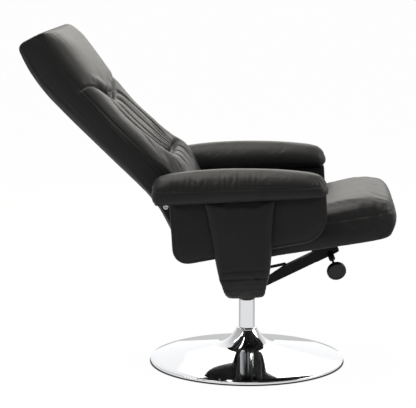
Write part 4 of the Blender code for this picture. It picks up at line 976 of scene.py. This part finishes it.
seat = covered(
    "seat_cover", ["seat_cushion", "seat_foam", "seat_board"], grid=0.006, most=0.006, held=seat_held
)
local = in_axes(points_of(seat), SEAT_TURN)
normals = normals_of(seat)
height = local[:, 2] - SEAT_SEAM
side = rise(np.hypot(normals[:, 0], np.clip(-normals[:, 1], 0, 1)), 0.35, 0.8)
draw = random.Random(9)
gathers = gathered(draw, local[:, 1], height, SEAT_GATHERED, SEAT_GATHERS, SEAT_GATHER_MIDDLE, near_front)
gathers *= rise(np.abs(normals[:, 0]), 0.3, 0.7)
across = np.zeros(len(local))
place = -NOSE_GATHERED
while place < NOSE_GATHERED:
    width = draw.uniform(*NOSE_GATHERS["width"])
    depth = draw.uniform(*NOSE_GATHERS["depth"])
    lean = draw.uniform(*NOSE_GATHERS["lean"])
    fold = dent(local[:, 0] - place - lean * height, width)
    across += depth * fold * dent(height - SEAT_GATHER_MIDDLE, NOSE_REACH)
    place += draw.uniform(*NOSE_GATHERS["gap"])
across *= rise(-normals[:, 1], 0.3, 0.7) * rise(np.abs(local[:, 0]), SEAT_HALF - 0.10, SEAT_HALF - 0.04)
seat_dents = creased(height, SEAT_CREASE) + (gathers + across) * rise(height, -0.004, 0.005)
nose = np.arctan2(local[:, 2] - NOSE_CENTRE[1], NOSE_CENTRE[0] - local[:, 1])
pressed(seat, seat_dents * side - NOSE_PADDING * dent(nose - NOSE_WAY, NOSE_SPREAD))
seat.data.materials.append(leather)
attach(seat, "seat")
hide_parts("seat_cushion", "seat_foam", "seat_board")

# Back: one stuffed cover over a board. Its rear and sides are plain. Its front has a head pillow above a
# curved seam, then sewn channels between two long side rolls, a tuck across the loins and soft pleats below.
BACK_PIVOT = (0.220, 0.510)
BACK_FOOT = (-0.0337, -0.1096)
BACK_HALF = 0.243
FOOT_TILT = 30.0
MIDDLE_TILT = 45.0
HEAD_TILT = 27.5
LOWER_BEND = 0.139
LOWER_BEND_HALF = 0.061
UPPER_BEND = 0.618
UPPER_BEND_HALF = 0.100
LINE_STEP = 0.002
LINE_START = -0.06
LINE_END = 0.80
LINE_LAST = 0.79
# Stations up the rear line: the tuck, the pillow's tip in the middle, its seam's ends at the sides with the
# power of the curve between, and where the pivot plates end.
LOINS = 0.197
PILLOW_TIP = 0.432
PILLOW_SIDE = 0.508
PILLOW_CURVE = 1.3
PLATE_TOP = (0.16, 0.24)
# Depth, place and width of the creases across each line. A negative depth stands proud.
SIDE_SEAM = 0.080
SECOND_ROW = 0.011
SIDE_SEAM_ROWS = ((SEAM_DEPTH, 0.0, SEAM_WIDTH), (SEAM_DEPTH, -SECOND_ROW, SEAM_WIDTH))
LOIN_TUCK = ((0.0125, 0.0, 0.0075), (-0.0030, 0.022, 0.014), (-0.0035, -0.022, 0.015))
LOIN_BOW = 0.012
SIDE_ROLLS = ((-0.0070, 0.19, 0.07), (0.0040, 0.37, 0.07))
REAR_PADDING = 0.0030
PILLOW_LIP = (0.0060, 0.022, 0.015)
# The pillow seam's depth and width, each at the sides and in the middle.
PILLOW_SEAM_DEPTH = (0.0050, 0.0095)
PILLOW_SEAM_WIDTH = (0.0038, 0.0076)
# Places across the back, as shares of its half width, with the depth and the width of the folds there.
CHANNELS = (-0.56, -0.20, 0.20, 0.56)
CHANNEL_DEPTH = 0.0100
CHANNEL_WIDTH = 0.0095
CHANNEL_WAIST = 0.60
ROLLS = (-0.38, 0.0, 0.38)
ROLL_RISE = 0.0035
ROLL_WIDTH = 0.022
SHORT_PLEAT_DEPTH = 0.0060
SHORT_PLEAT_WIDTH = 0.0080
LOWER_PLEATS = (-0.48, -0.17, 0.15, 0.46)
LOWER_PLEAT_DEPTH = 0.0055
LOWER_PLEAT_WIDTH = 0.0085
LOWER_PLEAT_LEAN = 0.1
BACK_ROW_ENDS = (0.06, 0.685)


def back_tilt(station):
    lower = rise(station, LOWER_BEND - LOWER_BEND_HALF, LOWER_BEND + LOWER_BEND_HALF)
    upper = rise(station, UPPER_BEND - UPPER_BEND_HALF, UPPER_BEND + UPPER_BEND_HALF)
    tilt = FOOT_TILT + (MIDDLE_TILT - FOOT_TILT) * lower
    return np.radians(tilt + (HEAD_TILT - tilt) * upper)


# The back's rear line, from its foot up: its points, with the way that it runs at each.
line_stations = np.arange(LINE_START, LINE_END, LINE_STEP)
line_tilts = back_tilt(line_stations)
line_y = np.cumsum(np.sin(line_tilts)) * LINE_STEP
line_z = np.cumsum(np.cos(line_tilts)) * LINE_STEP
line_y += BACK_PIVOT[0] + BACK_FOOT[0] - np.interp(0.0, line_stations, line_y)
line_z += BACK_PIVOT[1] + BACK_FOOT[1] - np.interp(0.0, line_stations, line_z)


def on_back(points):
    """Station along the back's rear line and depth forward of it, for each point."""
    station = np.full(len(points), 0.3)
    for _ in range(12):
        tilt = np.interp(station, line_stations, line_tilts)
        past_y = points[:, 1] - np.interp(station, line_stations, line_y)
        past_z = points[:, 2] - np.interp(station, line_stations, line_z)
        station = station + past_y * np.sin(tilt) + past_z * np.cos(tilt)
        station = np.clip(station, LINE_START, LINE_LAST)
    return station, past_z * np.sin(tilt) - past_y * np.cos(tilt)


def pillow_seam(across):
    return PILLOW_TIP + (PILLOW_SIDE - PILLOW_TIP) * np.clip(np.abs(across), 0, 1) ** PILLOW_CURVE


def facing_front(station, normals):
    tilt = np.interp(station, line_stations, line_tilts)
    return normals[:, 2] * np.sin(tilt) - normals[:, 1] * np.cos(tilt)


def facing_up(station, normals):
    tilt = np.interp(station, line_stations, line_tilts)
    return normals[:, 1] * np.sin(tilt) + normals[:, 2] * np.cos(tilt)


def back_held(points, normals):
    """The end of the head, and the sides below the arms where the pivot plates lie."""
    station, _ = on_back(points)
    head = rise(facing_up(station, normals), 0.3, 0.7)
    return np.maximum(head, rise(np.abs(normals[:, 0]), 0.6, 0.9) * (1.0 - rise(station, *PLATE_TOP)))


def back_eased(points, normals):
    """Where sewn lines come later.

    These are the front between the side rolls from the loins to the pillow, the pillow's edge, and the sides
    where the front of the cover meets its rear.
    """
    station, depth = on_back(points)
    across = np.abs(points[:, 0]) / BACK_HALF
    past_seam = station - pillow_seam(across)
    front = rise(facing_front(station, normals), 0.2, 0.5)
    pleated = rise(station, LOINS - 0.04, LOINS) * (1.0 - rise(past_seam, -0.05, -0.02))
    pleated *= front * (1.0 - rise(across, 0.62, 0.78))
    rim = rise(np.abs(normals[:, 0]), 0.4, 0.7) * (1.0 - rise(np.abs(depth - SIDE_SEAM), 0.020, 0.032))
    return np.maximum.reduce((pleated, front * dent(past_seam, 0.022), rim))


def back_row(side, row_depth):
    """A line up one side of the back, at a depth forward of its rear line."""
    stations = np.linspace(*BACK_ROW_ENDS, 150)
    tilt = np.interp(stations, line_stations, line_tilts)
    y = np.interp(stations, line_stations, line_y) - row_depth * np.cos(tilt)
    z = np.interp(stations, line_stations, line_z) + row_depth * np.sin(tilt)
    return [Vector((side * BACK_HALF, *point)) for point in zip(y, z)]


# Birch ply stained black, as it shows below the back's cover: matt, with a fine grain along it.
FIBRE_MM = (16.67, 166.7, 1.4286)
ply, tree, shader, coordinates = new_material("black_stained_plywood")
along = wired(
    tree, "ShaderNodeMapping", {"Vector": coordinates, "Scale": [1000 / size for size in FIBRE_MM]}
)
fibres = wired(tree, "ShaderNodeTexNoise", {"Vector": along.outputs[0], "Scale": 1.0, "Detail": 4.0})
tint = wired(
    tree, "ShaderNodeMix",
    {0: fibres.outputs["Fac"], 6: linear("#17130f"), 7: linear("#2a241e")}, data_type="RGBA",
)
tree.links.new(tint.outputs[2], shader.inputs["Base Color"])
shader.inputs["Roughness"].default_value = 0.6
layers = wired(
    tree, "ShaderNodeBump", {"Height": fibres.outputs["Fac"], "Strength": 0.2, "Distance": 0.0004}
)
tree.links.new(layers.outputs[0], shader.inputs["Normal"])
dressed(ply, "back_board")

foot_line = Vector((0.0, math.sin(math.radians(FOOT_TILT)), math.cos(math.radians(FOOT_TILT))))
foot_point = Vector((0.0, BACK_PIVOT[0] + BACK_FOOT[0], BACK_PIVOT[1] + BACK_FOOT[1]))
back = covered(
    "back_cover", ["back_shell", "back_foam", "back_board", "back_cushion", "head_pillow"],
    grid=0.0062, most=0.008, held=back_held, eased=back_eased,
    cut=(foot_point - foot_line * 0.001, foot_line),
)
points = points_of(back)
normals = normals_of(back)
station, depth = on_back(points)
across = points[:, 0] / BACK_HALF
outwards = np.abs(across)
up_line = facing_up(station, normals)
front = rise(facing_front(station, normals), 0.2, 0.5)
rear = rise(-facing_front(station, normals), 0.3, 0.7)
rim = np.maximum(rise(np.abs(normals[:, 0]), 0.45, 0.8), rise(up_line, 0.45, 0.8))
back_dents = rim * creased(depth - SIDE_SEAM, *SIDE_SEAM_ROWS)
back_dents -= REAR_PADDING * np.maximum(rear, rise(up_line, 0.4, 0.8))

past_seam = station - pillow_seam(across)
middle = 1.0 - rise(outwards, 0.55, 0.80)
seam_depth = np.interp(middle, (0.0, 1.0), PILLOW_SEAM_DEPTH)
seam_width = np.interp(middle, (0.0, 1.0), PILLOW_SEAM_WIDTH)
back_dents += front * (seam_depth * dent(past_seam, seam_width) - middle * creased(past_seam, PILLOW_LIP))

from_loins = station - LOINS - LOIN_BOW * outwards
back_dents += front * creased(from_loins, *LOIN_TUCK) * (1.0 - rise(outwards, 0.45, 0.68))
back_dents += front * rise(outwards, 0.50, 0.70) * creased(station, *SIDE_ROLLS)

share = from_loins / (pillow_seam(across) - LOINS)
bow = CHANNEL_WAIST + (1.0 - CHANNEL_WAIST) * (1.0 - np.clip(2 * share - 1, -1, 1) ** 2)
sewn = front * rise(share, -0.02, 0.06) * (1.0 - rise(share, 0.84, 0.97))
short = front * rise(share, -0.02, 0.06) * (1.0 - rise(share, 0.20, 0.50))
below = front * rise(-from_loins, 0.0, 0.012) * (1.0 - rise(-from_loins, 0.02, 0.08))
for channel in CHANNELS:
    back_dents += CHANNEL_DEPTH * sewn * dent((across - channel * bow) * BACK_HALF, CHANNEL_WIDTH)
for roll in ROLLS:
    aside = (across - roll * bow) * BACK_HALF
    back_dents -= ROLL_RISE * sewn * dent(aside, ROLL_WIDTH)
    back_dents += SHORT_PLEAT_DEPTH * short * dent(aside, SHORT_PLEAT_WIDTH)
for pleat in LOWER_PLEATS:
    aside = (across - pleat) * BACK_HALF + LOWER_PLEAT_LEAN * from_loins
    back_dents += LOWER_PLEAT_DEPTH * below * dent(aside, LOWER_PLEAT_WIDTH)
pressed(back, back_dents)
back.data.materials.append(leather)
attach(back, "back")
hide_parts("back_shell", "back_foam", "back_cushion", "head_pillow")

back_stitches = stitched(
    "back_stitches", back,
    [back_row(side, SIDE_SEAM - behind) for side in (-1, 1) for behind in (0.0, SECOND_ROW)],
)
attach(back_stitches, "back")

# Recline pivots and link: steel ears on the back's sides, brackets under the arms, plated socket-head bolts
# between them, and a rod across the back's foot that pushes the seat.
PIVOT_HEAD = 0.2549
dressed(powder, "pivot_plate_left", "pivot_plate_right", "pivot_bracket_left", "pivot_bracket_right")
dressed(powder, "back_lug_left", "back_lug_right")
dressed(zinc, "link_rod")
bolt_right = turned("pivot_bolt_head_right", [
    (0.0049, -0.0116), (0.0050, -0.0110), (0.0050, 0.0), (0.0076, 0.0), (0.0080, 0.0004), (0.0080, 0.0068),
    (0.0076, 0.0076), (0.0068, 0.0080), (0.0046, 0.0080), (0.0042, 0.0076), (0.0042, 0.0040), (0.0, 0.0030),
], 48, capped=True)
bolt_right.data.transform(
    Matrix.Translation((-PIVOT_HEAD, *BACK_PIVOT)) @ Matrix.Rotation(math.radians(-90), 4, "Y")
)
bolt_left = mirrored(bolt_right, "pivot_bolt_head_left")
for piece, node in ((bolt_right, "pivot_bolt_right"), (bolt_left, "pivot_bolt_left")):
    piece.data.materials.append(zinc)
    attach(piece, "back")
    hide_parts(node)
